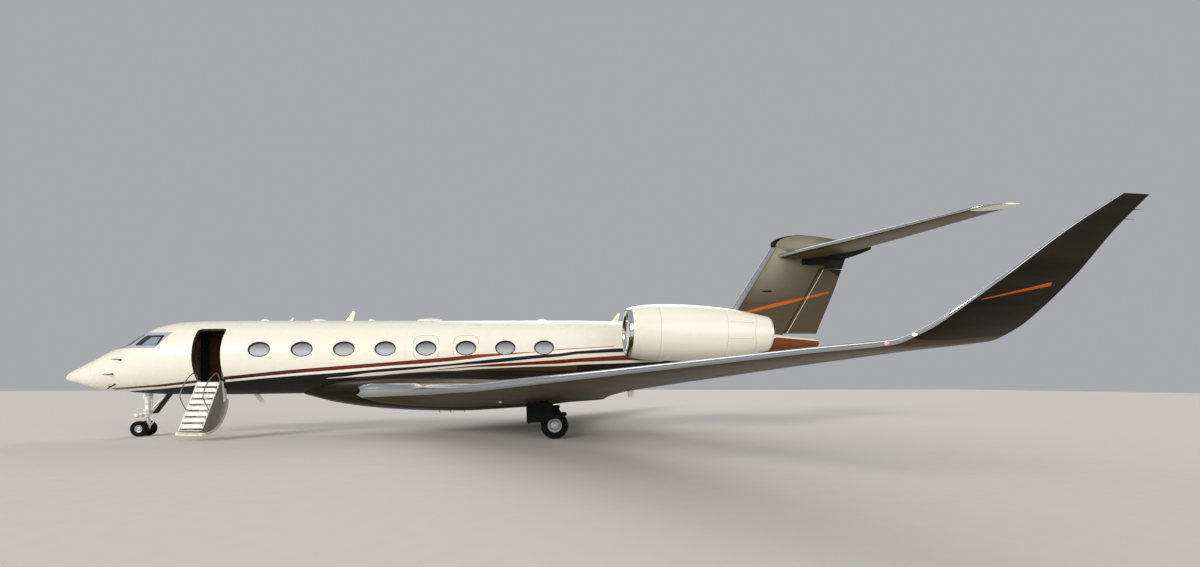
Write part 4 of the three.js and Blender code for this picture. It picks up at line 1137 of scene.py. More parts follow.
def wing_points(rows, share, half, side=-1):
    """Points of a wing from its lines and loops: each section is turned nose up, then leans with the
    winglet, out to port for -1 or starboard for 1."""
    y, lead, height, chord, angle, _, cant = (rows[:, i : i + 1] for i in range(7))
    twist, lean, x, z = radians(angle), radians(cant), share * chord, half * chord
    along = x * np.cos(twist) + z * np.sin(twist)
    rise = z * np.cos(twist) - x * np.sin(twist)
    return row(lead + along, side * (y - rise * np.sin(lean)), height + rise * np.cos(lean))


def wing_form(rows, share, half, side):
    """A closed wing, flap or blade from its lines and loops. Each point's place on the surface is its
    chord share and its distance out."""
    return Form().grid(wing_points(rows, share, half, side), caps=True, place=stack(share, rows[:, :1]))


class JET_OT_wings(bpy.types.Operator):
    """Wings with blended winglets, flaps, ailerons and the belly fairing"""

    bl_idname = "jet.wings"
    bl_label = "Wings"

    def execute(self, context):
        cuts = [(cut["inner"] - ease, cut["outer"] + ease) for cut, ease in ((FLAP, 0.006), (AILERON, 0.02))]
        (flap_in, flap_out), (aileron_in, aileron_out) = cuts
        places = spread((0.9, 0.12), (flap_in, 0.3), (flap_out, 0.12), (aileron_in, 0.3), (aileron_out, 0.06),
                        (14.1, 0.03), (15.161, 0))
        rows = wing_rows(np.sort(np.concatenate([places, *cuts])))
        places, chord = rows[:, 0], rows[:, 3]
        cut = np.ones(len(places))
        for (low, high), share in zip(cuts, (FLAP["share"], AILERON["share"])):
            here = (places >= low) & (places <= high)
            here[np.flatnonzero(here)[[0, -1]]] = False
            cut = np.where(here, share - CUT_GAP / chord, cut)
        share, half = section(cut, rows[:, 5])
        lines = wing_rows(np.linspace(AILERON["inner"], AILERON["outer"], 8))
        back, up = tail_section(AILERON["hinge"], 0.995, AILERON["thick"])
        for side, sign in SIDES.items():
            wing = wing_form(rows, share, half, sign)
            foot = row(15.0, sign * 3.2, 1.235)  # of a short round fitting below the wing
            wing.bar(foot + (0, 0, 0.165), foot, 0.06, ease=0.01)
            wing.made(f"wing_skin_{side}", "champagne_paint", "wing_paint", [f"wing_{side}"])
            self.flap(side, sign)
            blade = wing_form(lines, back[None], up[None], sign)
            node = f"aileron_{side}"
            blade.made(f"aileron_blade_{side}", "champagne_paint", "wing_paint", [node], body=node)
        self.fairing()
        return {"FINISHED"}

    def flap(self, side, sign):
        """The flap between the wing's rear cut and its trailing edge, clear of the fairing."""
        lines = wing_rows(spread((FLAP["inner"], 0.3), (FLAP["outer"], 0)))
        share = FLAP["share"] + (1 - FLAP["share"]) * np.linspace(0, 1, 10)
        half = half_thick(share, lines[:, 5:6])
        share, half = np.concatenate([share[::-1], share]), np.concatenate([half[:, ::-1], -half], 1)
        form = wing_form(lines, share, half, sign)
        form.made(f"flap_panel_{side}", "champagne_paint", "wing_paint", [f"flap_{side}"])

    def fairing(self):
        """Belly fairing: a full oval section round the keel whose top follows the fuselage just under
        its skin."""
        station = spread((7.9, 0.12), (10.4, 0.25), (17.5, 0.12), (19.9, 0))
        keel, wide, flank = by_column(smooth(FAIRING, station))
        angle = circle(72)
        across, up = np.cos(angle), np.sin(angle)
        square = lambda v: np.sign(v) * np.abs(v) ** 0.75
        y = wide[:, None] * square(across)
        z = flank[:, None] + np.where(up > 0, 0.5, (flank - keel)[:, None]) * square(up)
        crown, low, half = hull_lines(station)
        sunk = 0.03
        middle, rise = ((crown + low) / 2 + sit(station))[:, None], ((crown - low) / 2)[:, None] - sunk
        inside = np.hypot(y / (half[:, None] - sunk), (z - middle) / rise)
        push = np.where(inside < 1, 1 / np.maximum(inside, 1e-6), 1)
        points = row(station[:, None], y * push, middle + (z - middle) * push)
        form = Form().grid(points, caps=True)
        form.made("belly_fairing_skin", "bronze_paint", "belly_paint", ["belly_fairing"])


def fin_form(height, share, half):
    """Fin or rudder: each section lies level, from its leading edge back."""
    lead, chord = by_column(straight(FIN, height))[:2, :, None]
    points = row(lead + share * chord, half * chord, height[:, None])
    return Form().grid(points, caps=True, place=stack(share, height[:, None]))


def rudder_share(height):
    """Chord share of the rudder's front, changing evenly with height."""
    way = (height - RUDDER["bottom"]) / (RUDDER["top"] - RUDDER["bottom"])
    return RUDDER["low"] + way * (RUDDER["high"] - RUDDER["low"])


def stabilizer_rows(places):
    """Stabilizer lines at places out along it, straight to the raked tip and curved through it."""
    held = [(y, *straight(STABILIZER, y)) for y in (1.0, 5.4)]
    return np.column_stack([places, smooth(sorted([*STABILIZER, *held]), places)])


class JET_OT_tail(bpy.types.Operator):
    """Fin, rudder, bullet, stabilizers and elevators"""

    bl_idname = "jet.tail"
    bl_label = "Tail"

    def execute(self, context):
        self.fin()
        self.bullet()
        lower, reach = 20, ELEVATOR["outer"] + CUT_GAP
        places = np.concatenate([np.linspace(0.1, reach, lower), np.linspace(reach, 6.2, 14)])
        rows = stabilizer_rows(places)
        cut = np.where(np.arange(len(places)) < lower, ELEVATOR["share"] - CUT_GAP / rows[:, 3], 1.0)
        share, half = section(cut, rows[:, 5])
        lines = stabilizer_rows(np.linspace(ELEVATOR["inner"], ELEVATOR["outer"], 10))
        back, up = tail_section(ELEVATOR["hinge"], 0.995, 0.1)
        for side, sign in SIDES.items():
            form, node = wing_form(rows, share, half, sign), f"stabilizer_{side}"
            form.made(f"stabilizer_skin_{side}", "champagne_paint", "tail_paint", [node])
            form, node = wing_form(lines, back[None], up[None], sign), f"elevator_{side}"
            form.made(f"elevator_blade_{side}", "champagne_paint", "tail_paint", [node], body=node)
        return {"FINISHED"}

    def fin(self):
        """The fin, cut away behind its lower part for the rudder, and the rudder's blade."""
        lower, top = 24, RUDDER["top"] + 0.022
        height = np.concatenate([np.linspace(3.4, top, lower), np.linspace(top, 7.25, 8)])
        chord = straight(FIN, height)[:, 1]
        cut = np.where(np.arange(len(height)) < lower, rudder_share(height) - RUDDER["gap"] / chord, 1.0)
        form = fin_form(height, *section(cut, 0.1))
        form.made("fin_skin", "bronze_paint", "fin_paint", ["fin"])
        height = np.linspace(RUDDER["bottom"], RUDDER["top"], 12)
        loops = [tail_section(rudder_share(h) + RUDDER["hinge"], 1.0, 0.1) for h in height]
        blade = fin_form(height, *(np.array(part) for part in zip(*loops)))
        blade.made("rudder_blade", "bronze_paint", "fin_paint", ["rudder"], body="rudder")

    def bullet(self):
        """Ovals through the bullet's lines, closer together towards both ends."""
        first, last = BULLET[0][0], BULLET[-1][0]
        station = first + (last - first) * (0.5 - 0.5 * np.cos(np.linspace(0, math.pi, 40)))
        low, high, wide = by_column(smooth(BULLET, station))[:, :, None]
        angle = circle(48)
        up = (high + low) / 2 + (high - low) / 2 * np.sin(angle)
        form = Form().grid(row(station[:, None], wide * np.cos(angle), up), caps=True)
        form.made("bullet_skin", "bronze_paint", "bullet_paint", ["tail_bullet"])


def root_smooth(table, at):
    """A table's single column, by cubics over the square root of the place, which round a lip."""
    return smooth([(math.sqrt(place), value) for place, value in table], np.sqrt(at))[..., 0]


def nacelle_radius(along):
    """Outer radius of the nacelle at a distance behind its lip."""
    return root_smooth(NACELLE_OUTER, np.clip(along, 0, NACELLE_OUTER[-1][0]))


class JET_OT_engines(bpy.types.Operator):
    """Nacelles with their ducts, cores, fans and pylons"""

    bl_idname = "jet.engines"
    bl_label = "Engines"

    def execute(self, context):
        along = NACELLE_OUTER[-1][0] * np.linspace(0, 1, 44) ** 2
        back = NACELLE_INNER[-1][0] * np.linspace(1, 0, 40)[:-1] ** 2
        duct = root_smooth(NACELLE_INNER, back)
        loop = np.array([*zip(along, nacelle_radius(along)), *zip(back, duct)])
        for side, sign in SIDES.items():
            centre = row(ENGINE["lip"], sign * ENGINE["y"], ENGINE["z"])
            cowl = Form().turned(loop, centre, "x", 96, closed=True)
            cowl.made(f"nacelle_cowl_{side}", "ivory_paint", "cowl_paint", [f"nacelle_{side}"])
            core = Form().turned(CORE, centre, "x", 64)
            core.made(f"core_{side}", "engine_metal", "engine_metal", [f"engine_core_{side}"])
            self.fan(side, centre)
            self.pylon(side, sign)
        return {"FINISHED"}

    def fan(self, side, centre):
        """Spinner and broad blades: each blade's chord line turns from near the shaft's direction at
        its root to nearly across it at the tip, and its leading edge sweeps back in the middle."""
        form = Form().turned(SPINNER, centre, "x", 48, finish=1)
        root, tip, blades = 0.172, 0.624, 20
        radius = np.linspace(root, tip, 12)[:, None]
        t = np.concatenate([np.linspace(-0.5, 0.5, 9), np.linspace(0.5, -0.5, 9)])[None, :]
        face = np.repeat([1.0, -1.0], 9)
        way = (radius - 0.17) / 0.454
        chord, turn, bow = 0.15 + 0.1 * way, radians(30 + 34 * way), 0.25 - t * t
        thick = face * bow * 0.03
        along = 1.075 + t * chord * np.cos(turn) - thick * np.sin(turn) + 0.03 * np.sin(math.pi * way)
        across = t * chord * np.sin(turn) + thick * np.cos(turn) + 0.1 * bow * chord
        for i in range(blades):
            spin = 2 * math.pi * i / blades + across / radius
            form.grid(stack(along, radius * np.cos(spin), radius * np.sin(spin)) + centre, caps=True)
        node = f"fan_{side}"
        form.made(f"fan_wheel_{side}", "engine_metal", "fan_metal dark_metal", [node], body=node)

    def pylon(self, side, sign):
        """A thin symmetric section carried from just inside the fuselage's skin to just inside the
        nacelle's."""
        (share,), (half,) = section(1.0, PYLON["thick"], 14)
        station = PYLON["front"] + PYLON["chord"] * share
        z = ENGINE["z"] + PYLON["rise"] + PYLON["chord"] * half
        crown, keel, wide = hull_lines(station)
        middle, rise = (crown + keel) / 2 + sit(station), (crown - keel) / 2
        inner = wide * np.sqrt(np.clip(1 - ((z - middle) / rise) ** 2, 0, 1)) - 0.02
        radius = nacelle_radius(station - ENGINE["lip"])
        outer = ENGINE["y"] - np.sqrt(np.clip(radius**2 - (z - ENGINE["z"]) ** 2, 0, None)) + 0.02
        way = np.linspace(0, 1, 8)[:, None]
        points = row(station, sign * (inner + (outer - inner) * way), z)
        form = Form().grid(points, caps=True, place=stack(share, way))
        form.made(f"pylon_skin_{side}", "ivory_paint", "cowl_paint", [f"pylon_{side}"])


def tyre_profile(radius, width, rim):
    """Half a tyre's section as (across, radius): bulged walls, a rounded shoulder and four grooves
    round the tread, each a step down and up."""
    half, tall = width / 2, radius - rim
    wall = [(-half * 0.74, rim + 0.004), (-half * 0.8, rim + 0.012), (-half * 0.93, rim + tall * 0.3),
            (-half, rim + tall * 0.52), (-half * 0.96, rim + tall * 0.72),
            (-half * 0.84, radius - width * 0.075), (-half * 0.66, radius - width * 0.02)]
    floor, crest = radius - size("groove"), radius - 0.001
    shape = ((-0.035, crest), (-0.03, floor), (0.03, floor), (0.035, crest))
    tread = [(half * (place + off), level) for place in (-0.42, -0.15) for off, level in shape]
    side = [*wall, *tread, (0.0, radius)]
    seat = [(half * 0.5, rim + 0.001), (-half * 0.5, rim + 0.001)]
    return [*side, *[(-a, r) for a, r in side[-2::-1]], *seat]


def hub_profile(twin, width, rim, shaft):
    """Half a hub's section as (across, radius) out from the middle of the axle: shaft, inner flange,
    rim well, outer flange, dished disc and raised cap."""
    half = width * 0.34
    disc = ((1, 0.93), (0.62, 0.86), (0.5, 0.6), (0.56, 0.42), (0.62, 0.34), (0.9, 0.3), (1, 0.24))
    return [(0, shaft), (twin - half, shaft), (twin - half, rim - 0.012), (twin - half + 0.006, rim - 0.001),
            (twin + half - 0.006, rim - 0.001), (twin + half, rim - 0.006),
            *((twin + half * out, rim * share) for out, share in disc), (twin + half, 0.004)]


class JET_OT_wheels(bpy.types.Operator):
    """Tyres with grooved treads, and wheels with slotted or pierced discs on their axles"""

    bl_idname = "jet.wheels"
    bl_label = "Wheels"

    def execute(self, context):
        for side, sign in SIDES.items():
            body = f"main_wheel_pair_{side}"
            centre = row(MAIN_GEAR["x"], sign * MAIN_GEAR["y"], MAIN_GEAR["tyre"])
            for name, way in (("outer", 1), ("inner", -1)):
                place = centre + (0, sign * way * MAIN_GEAR["twin"], 0)
                self.tyre(f"main_tread_{name}_{side}", body, place, MAIN_GEAR, 72, f"main_tyre_{name}_{side}")
            self.wheels(f"main_hubs_{side}", body, centre, MAIN_GEAR, 0.062, 24, f"main_wheels_{side}")
            place = row(NOSE_GEAR["x"], sign * NOSE_GEAR["twin"], NOSE_GEAR["tyre"])
            self.tyre(f"nose_tread_{side}", "nose_wheel_pair", place, NOSE_GEAR, 64, f"nose_tyre_{side}")
        centre = row(NOSE_GEAR["x"], 0, NOSE_GEAR["tyre"])
        self.wheels("nose_hubs", "nose_wheel_pair", centre, NOSE_GEAR, 0.038, 10, "nose_wheels")
        return {"FINISHED"}

    def tyre(self, name, body, centre, gear, sides, node):
        """One grooved tyre turned about its axle."""
        profile = tyre_profile(gear["tyre"], gear["width"], gear["rim"])
        form = Form().turned(profile, centre, "y", sides, closed=True)
        form.made(name, "tyre_rubber", "tyre_rubber", [node], crease=50, body=body)

    def wheels(self, name, body, centre, gear, shaft, pockets, node):
        """Two turned hubs on a shaft, with a ring of dark pockets in each disc, slots if they are many
        and round otherwise, painted shade standing in for open holes, and bolts round the cap."""
        half = hub_profile(gear["twin"], gear["width"], gear["rim"], shaft)
        profile = [*[(-a, r) for a, r in half[:0:-1]], *half]
        form = Form().turned(profile, centre, "y", 72)
        depth, rim = gear["width"] * 0.34, gear["rim"]
        slots, bolts = pockets > 12, 10
        angle = circle(16)
        for way in (-1, 1):
            face = centre[1] + way * (gear["twin"] + depth * 0.5)
            for i in range(pockets):
                turn = 2 * math.pi * (i + 0.5) / pockets
                out = np.array([math.cos(turn), 0, math.sin(turn)])
                if slots:
                    a, b = out * rim * 0.5, out * rim * 0.8
                    side = np.array([-out[2], 0, out[0]]) * rim * 0.055
                    loop = rounded([a - side * 0.7, b - side, b + side, a + side * 0.7], rim * 0.05, 3)
                else:
                    loop = out * rim * 0.64 + stack(np.cos(angle), 0, np.sin(angle)) * rim * 0.13
                # painted shade: dark slabs on the disc where holes would show the shade behind
                form.slab(loop + (centre[0], face, centre[2]), (0, way * depth * 0.14, 0), 0.001, finish=1)
            for turn in 2 * math.pi * np.arange(bolts) / bolts:
                out = np.array([math.cos(turn), 0, math.sin(turn)]) * rim * 0.26
                spot = centre + out + (0, way * (gear["twin"] + depth), 0)
                form.bar(spot, spot + (0, way * 0.008, 0), rim * 0.03, 8, ease=0.002)
        form.made(name, "wheel_alloy", "wheel_alloy inner_dark", [node], body=body)


# Bars of the port main leg, from the ground under its axle: start and end, radius, sides, finish
MAIN_BARS = [
    ((-0.41, 0, 1.7), (-0.43, 0, 0.58), 0.085, 32),  # strut
    ((-0.42, 0, 1.23), (-0.42, 0, 1.17), 0.098, 32),  # collars
    ((-0.42, 0, 0.85), (-0.42, 0, 0.79), 0.098, 32),
    ((-0.43, -0.08, 0.62), (-0.43, 0.08, 0.62), 0.095, 32),  # knee
    ((-0.44, 0, 0.62), (0.12, 0, 0.475), 0.072, 28),  # trailing arm
    ((0.02, 0, 0.545), (-0.12, 0, 0.87), 0.05, 28, 1),  # shock strut, rod and barrel
    ((-0.11, 0, 0.85), (-0.31, 0, 1.33), 0.062, 28),
    ((-0.89, 0, 1.56), (-0.45, 0, 1.0), 0.045, 24),  # brace
]
# Its hoses: radius and path
MAIN_HOSES = [
    (0.009, [(-0.35, -0.075, 0.75), (-0.32, -0.085, 0.63), (-0.16, -0.05, 0.51)]),
    (0.009, [(-0.35, -0.075, 1.5), (-0.32, -0.085, 1.38), (-0.21, -0.05, 1.26)]),
    (0.011, [(-0.33, -0.07, 1.6), (-0.31, -0.085, 1.3), (-0.325, -0.09, 0.9), (-0.29, -0.09, 0.66),
             (-0.15, -0.085, 0.57)]),
]
# Door on the main leg and the plate below it, as (station, height)
LEG_DOOR = [(15.81, 1.24), (16.69, 1.21), (16.69, 0.88), (15.89, 0.51), (15.83, 0.56)]
LEG_PLATE = [(15.83, 0.9), (17.14, 0.905), (17.15, 0.78), (16.3, 0.56), (15.83, 0.55)]


class JET_OT_main_gear(bpy.types.Operator):
    """Main legs with trailing arm, shock strut, brace, hoses and door panel"""

    bl_idname = "jet.main_gear"
    bl_label = "Main gear"

    def execute(self, context):
        x, y, radius = MAIN_GEAR["x"], MAIN_GEAR["y"], MAIN_GEAR["tyre"]
        ground = row(x, -y, 0)
        leg = Form().bars(ground, MAIN_BARS)
        leg.turned([(-0.066, 0.1), (-0.06, 0.12), (0.06, 0.12), (0.066, 0.1)], row(x, -y, radius), "y", 40)
        for thick, path in MAIN_HOSES:
            leg.tube(ground + path, thick, 8, 2)
        door = Form()
        for corners, out, thick, ease in ((LEG_DOOR, 0.44, 0.025, 0.006), (LEG_PLATE, 0.452, 0.02, 0.005)):
            outline = rounded(corners, 0.05, 5)
            door.slab(row(outline[:, 0], -y - out, outline[:, 1]), (0, thick, 0), ease)
        door.bar(ground + (-0.44, -0.43, 0.96), ground + (-0.44, -0.1, 0.96), 0.026, 16)
        for z in (0.85, 1.1):
            rib = ((15.9, z - 0.02), (16.6, z + 0.04), (16.6, z + 0.08), (15.9, z + 0.02))
            loop = rounded([row(station, -y - 0.415, level) for station, level in rib], 0.01, 3)
            door.slab(loop, (0, 0.012, 0), 0.003)
        for side in SIDES:
            for form, name, looks, node in (
                    (leg, "main_leg_strut", "dark_metal polished_metal black_trim", "main_leg"),
                    # the door's black is partly its own dark paint and partly painted shade under the wing
                    (door, "main_leg_door", "black_trim", "main_gear_door")):
                body = form if side == "left" else form.mirrored()
                body.made(f"{name}_{side}", "dark_panel", looks, [f"{node}_{side}"])
        return {"FINISHED"}


# Nose strut from the top down: height, radius
NOSE_STRUT = [
    (1.638, 0.09), (1.53, 0.09), (1.52, 0.14), (1.34, 0.145), (1.32, 0.1), (1.26, 0.082), (1.0, 0.082),
    (0.96, 0.09), (0.94, 0.122), (0.77, 0.122), (0.75, 0.1), (0.74, 0.09),
]
# Bars of the nose leg and fork, from the ground under the strut: start and end, radius, sides, finish
NOSE_BARS = [
    ((0, 0, 1.442), (0, 0, 1.418), 0.15, 40, 1),  # rings
    ((0, 0, 1.142), (0, 0, 1.118), 0.09, 40, 1),
    ((0, 0, 0.872), (0, 0, 0.848), 0.15, 40, 1),
    ((0.6, 0, 1.445), (0, 0, 0.79), 0.034, 20),  # drag brace and its joint
    ((0.42, -0.05, 1.245), (0.42, 0.05, 1.245), 0.045, 20),
    ((0, -0.17, 1.43), (0, 0.17, 1.43), 0.05, 24),  # trunnion
]
FORK_BARS = [
    ((0, 0, 0.732), (0, 0, 0.28), 0.05, 36, 1),  # piston and its sleeve
    ((0, 0, 0.46), (0, 0, 0.27), 0.07, 36),
    ((0.03, -0.05, 0.6), (0.03, -0.05, 0.34), 0.02, 16),  # pipes behind it
    ((0.03, 0.05, 0.6), (0.03, 0.05, 0.34), 0.02, 16),
    ((0.01, 0, 0.27), (-0.13, 0, 0.27), 0.062, 28),  # arm to the axle
]


class JET_OT_nose_gear(bpy.types.Operator):
    """Nose leg with its brace, steered fork, torque link, taxi lamps and door"""

    bl_idname = "jet.nose_gear"
    bl_label = "Nose gear"

    def execute(self, context):
        x, strut, radius = NOSE_GEAR["x"], NOSE_GEAR["strut"], NOSE_GEAR["tyre"]
        ground = row(strut, 0, 0)
        heights, radii = np.transpose(NOSE_STRUT)
        leg = Form().tube(ground + stack(0, 0, heights), radii, 40).bars(ground, NOSE_BARS)
        for y in (-0.115, 0.115):
            lamp = ground + stack((-0.2, -0.215, -0.28, -0.315), y, 0.73)
            leg.tube(lamp, [0.03, 0.06, 0.08, 0.08], 28)
            leg.bars(ground, (
                ((-0.31, y, 0.73), (-0.322, y, 0.73), 0.072, 28, 2, 0.003),  # lens
                ((-0.21, y, 0.74), (0, y * 0.6, 0.84), 0.022, 12),  # arm
                ((0.02, y * 0.8, 0.93), (0.02, y * 0.8, 0.76), 0.035, 20)))  # steering cylinder
            hose = ((0.07, y * 0.5, 1.6), (0.11, y * 0.6, 1.4), (0.09, y * 0.7, 1.1), (0.1, y * 0.6, 0.8))
            leg.tube(ground + hose, 0.01, 8, 1)
        leg.made("nose_leg_strut", "gear_white", "gear_white frame_grey lens_clear", ["nose_leg"])
        fork = Form().bars(ground, FORK_BARS)
        boss = [(-0.074, 0.06), (-0.068, 0.07), (0.068, 0.07), (0.074, 0.06)]
        fork.turned(boss, row(x, 0, radius), "y", 36)
        fork.box(row(x - 0.11, -0.04, radius - 0.035), row(x, 0.04, radius + 0.035), 0.012, 0.006)
        fork.bar(ground + (0, 0, 0.732), ground + (0, 0, 0.68), 0.068, 36)
        for (x0, z0), (x1, z1) in (((0.06, 0.34), (0.19, 0.52)), ((0.19, 0.52), (0.06, 0.69))):
            root, tip = (x0, -0.03, z0), (x1, -0.02, z1)
            link = np.array([root, tip, tip, root]) + stack(0, 0, (-0.016, -0.012, 0.012, 0.016))
            fork.slab(rounded(ground + link, 0.008, 3), (0, 0.05, 0), 0.003)
        fork.bar(ground + (0.19, -0.035, 0.52), ground + (0.19, 0.035, 0.52), 0.018, 16)
        looks = "gear_white polished_metal"
        fork.made("nose_fork_arm", "gear_white", looks, ["nose_fork"], body="nose_steering")
        outline = [(0, -0.145, 0.79), (0, 0.145, 0.79), (0.565, 0.145, 1.59), (0.565, -0.145, 1.59)]
        corners = rounded([np.add(row(2.781, 0, 0), p) for p in outline], 0.06, 5)
        panel = Form().slab(corners, (0.028, 0, 0), 0.006)
        panel.made("nose_leg_door", "dark_panel", "dark_metal", ["nose_gear_door"])
        return {"FINISHED"}


def swung(points, way=1):
    """Points of the closed door turned down about its hinge line to where the open door hangs, or
    back up again for -1."""
    turn = way * math.radians(DOOR["swing"])
    y, z = points[:, 1] - DOOR["y"], points[:, 2] - DOOR["z"]
    return np.column_stack([points[:, 0], DOOR["y"] + y * math.cos(turn) - z * math.sin(turn),
                            DOOR["z"] + y * math.sin(turn) + z * math.cos(turn)])


def foldable(points):
    """Points of the open stair, those that would fold into the shell above the doorway drawn onto an
    oval just inside its wall: divided by their share of that oval's radius."""
    x, y, z = swung(points, -1).T
    crown, keel, half = hull_lines(x + HALF_LENGTH)
    middle, room = (crown + keel) / 2 + sit(x + HALF_LENGTH), WALL + 0.03
    across, up = y / (half - room), (z - middle) / ((crown - keel) / 2 - room)
    share = np.hypot(across, up)
    above = np.arctan2(up, across) < math.radians(DOOR["top"] + 1.5)
    shrink = np.where(above & (share > 1), 1 / share, 1)
    return swung(np.column_stack([x, y * shrink, middle + (z - middle) * shrink]))


STEPS = {
    "count": 9, "front": 4.99, "back": 5.64, "top_y": -1.27, "top_z": 1.905, "foot_y": -2.31, "foot_z": 0.275}
# Stringer, upper post, rolled upper edge and handrail, as (y, z) with the door open
STRINGER = [
    (-1.26, 1.935), (-1.34, 1.935), (-2.33, 0.345), (-2.33, 0.29), (-2.16, 0.3), (-1.9, 0.38), (-1.62, 0.56),
    (-1.35, 0.86), (-1.17, 1.2), (-1.14, 1.48), (-1.21, 1.745),
]
STAIR_POST = [(-1.26, 1.93), (-1.18, 1.93), (-1.02, 1.26), (-1.13, 1.2)]
STAIR_LIP = [(-1.325, 1.93), (-1.582, 1.522), (-2.08, 0.724), (-2.27, 0.42)]
RAIL = [
    (-1.33, 1.83), (-1.4, 2.09), (-1.52, 2.2), (-1.66, 2.14), (-2.22, 1.53), (-2.25, 1.44), (-2.19, 1.33),
    (-1.72, 0.76),
]


def distance_run(points):
    """How far along a path of straight pieces each of its points lies."""
    return np.concatenate([[0], np.cumsum(np.linalg.norm(np.diff(points, axis=0), axis=1))])


def bent(points, steps=40):
    """A smooth path through points: each coordinate follows a cubic over the distance run so far."""
    points = np.asarray(points, float)
    run = distance_run(points)
    slope = np.gradient(points, run, axis=0)
    at = np.linspace(0, run[-1], steps)
    i = np.clip(np.searchsorted(run, at) - 1, 0, len(run) - 2)
    span = (run[i + 1] - run[i])[:, None]
    t = (at - run[i])[:, None] / span
    return ((1 + 2 * t) * (1 - t) ** 2 * points[i] + t * (1 - t) ** 2 * span * slope[i]
            + t * t * (3 - 2 * t) * points[i + 1] + t * t * (t - 1) * span * slope[i + 1])


def door_edge(ease, count=160):
    """Points (station, angle) round the doorway's outline, drawn in by an ease: its rounded rectangle
    in station and girth, at equal steps along it."""
    high, low = (math.radians(DOOR[edge]) * GIRTH for edge in ("top", "bottom"))
    front, back = DOOR["front"] + ease, DOOR["back"] - ease
    high, low = high + ease, low - ease
    loop = rounded([(front, high), (back, high), (back, low), (front, low)], 0.145, 9)
    loop = np.concatenate([loop, loop[:1]])
    run = distance_run(loop)
    at = np.linspace(0, run[-1], count)
    return np.column_stack([np.interp(at, run, loop[:, 0]), np.interp(at, run, loop[:, 1]) / GIRTH])


class JET_OT_airstair(bpy.types.Operator):
    """Door leaf hanging open, with its hinge arms and latches, the steps and the handrails"""

    bl_idname = "jet.airstair"
    bl_label = "Airstair"

    def execute(self, context):
        seam = 0.01
        stations = np.linspace(DOOR["front"] - 0.03, DOOR["back"] + 0.03, 36)
        angles = radians(np.linspace(DOOR["top"] - 2, DOOR["bottom"] + 2, 64))
        skin = trimmed(stations, angles, lambda s, a: doorway_field(s, a, seam, 0.11), inside=True)
        looks = "door_paint leaf_liner"
        leaf = Form().join(skin, swung)
        leaf.made("door_leaf", "ivory_paint", looks, ["airstair_door"], 0.098, rim=0, body="airstair")
        arms = Form()
        pin, knee, foot = np.array([(DOOR["y"], DOOR["z"]), (-1.015, 1.745), (-1.072, 1.985)])
        path = np.array([pin, (pin + knee) / 2, knee, (foot + knee) / 2, foot])
        for station in (DOOR["front"] + 0.16, DOOR["back"] - 0.16):
            arm = Form().bar(row(station - 0.03, *pin), row(station + 0.03, *pin), 0.028, 20)
            arm.tube(row(station, path[:, 0], path[:, 1]), 0.02, 16)
            arms.join(arm, swung)
        arms.made("door_arms", "engine_metal", "wheel_alloy", body="airstair")
        edge = door_edge(seam + 0.006)
        seal = Form().tube(hull_point(edge[:, 0], edge[:, 1], -0.055), 0.01, 10)
        for share in np.arange(0.03, 1.0, 0.055):
            i = int(share * (len(edge) - 1))
            spot = hull_point(edge[i : i + 2, 0], edge[i : i + 2, 1], -0.03)
            seal.tube(np.linspace(spot[0], spot[0] + (spot[1] - spot[0]) * 1.3, 4), 0.008, 8, 1)
        Form().join(seal, swung).made("door_seal", "dark_panel", "black_trim engine_metal", body="airstair")
        self.steps()
        return {"FINISHED"}

    def steps(self):
        """Deep stringers, treads with risers and grip strips, upper posts, and a bent rail at each side."""
        top, foot = np.array([(STEPS["top_y"], STEPS["top_z"]), (STEPS["foot_y"], STEPS["foot_z"])])
        front, back, count = STEPS["front"], STEPS["back"], STEPS["count"]
        form = Form()
        stringer, post = rounded(STRINGER, 0.03, 4), rounded(STAIR_POST, 0.03, 4)
        # the aft stringer takes the grey copy of the stair's white: painted shade
        for start, way, look in ((front, -1, 0), (back, 1, 1)):
            for loop, off, finish in ((stringer, 0, look), (post, 0.004, 0)):
                side = row(start + way * off, loop[:, 0], loop[:, 1])
                form.slab(side, (way * 0.025, 0, 0), 0.003 if off == 0 else 0.004, finish=finish)
            form.tube(bent([row(start + way * 0.0125, y, z) for y, z in STAIR_LIP], 8), 0.0165, 12)
            form.tube(bent([row(start + way * 0.012, y, z) for y, z in RAIL]), size("rail"), 14, finish=3)
            for y, z in (RAIL[0], RAIL[-1], RAIL[5]):
                form.bar(row(start - way * 0.006, y, z), row(start + way * 0.027, y, z), 0.026, 16, finish=3)
        for i in range(count):
            y, z = top + (foot - top) * (i + 0.15) / (count - 0.4)
            low, high = row(front, y - 0.12, z - 0.015), row(back, y + 0.095, z + 0.012)
            form.box(low, high, 0.02, 0.004)
            form.box(low + (0.03, 0.02, 0.026), high + (-0.03, -0.03, 0.003), 0.01, 0.001, finish=2)
            form.box(row(front, y - 0.12, z - 0.12), row(back, y - 0.104, z - 0.01), 0.004, 0.003)
            form.bar(row(front + 0.004, y - 0.116, z), row(back - 0.004, y - 0.116, z), 0.015, 14)
        form.points = [foldable(points) for points in form.points]
        looks = "stair_white stair_side tread_grip engine_metal"
        form.made("stair_steps", "stair_white", looks, ["airstair_steps"], body="airstair")


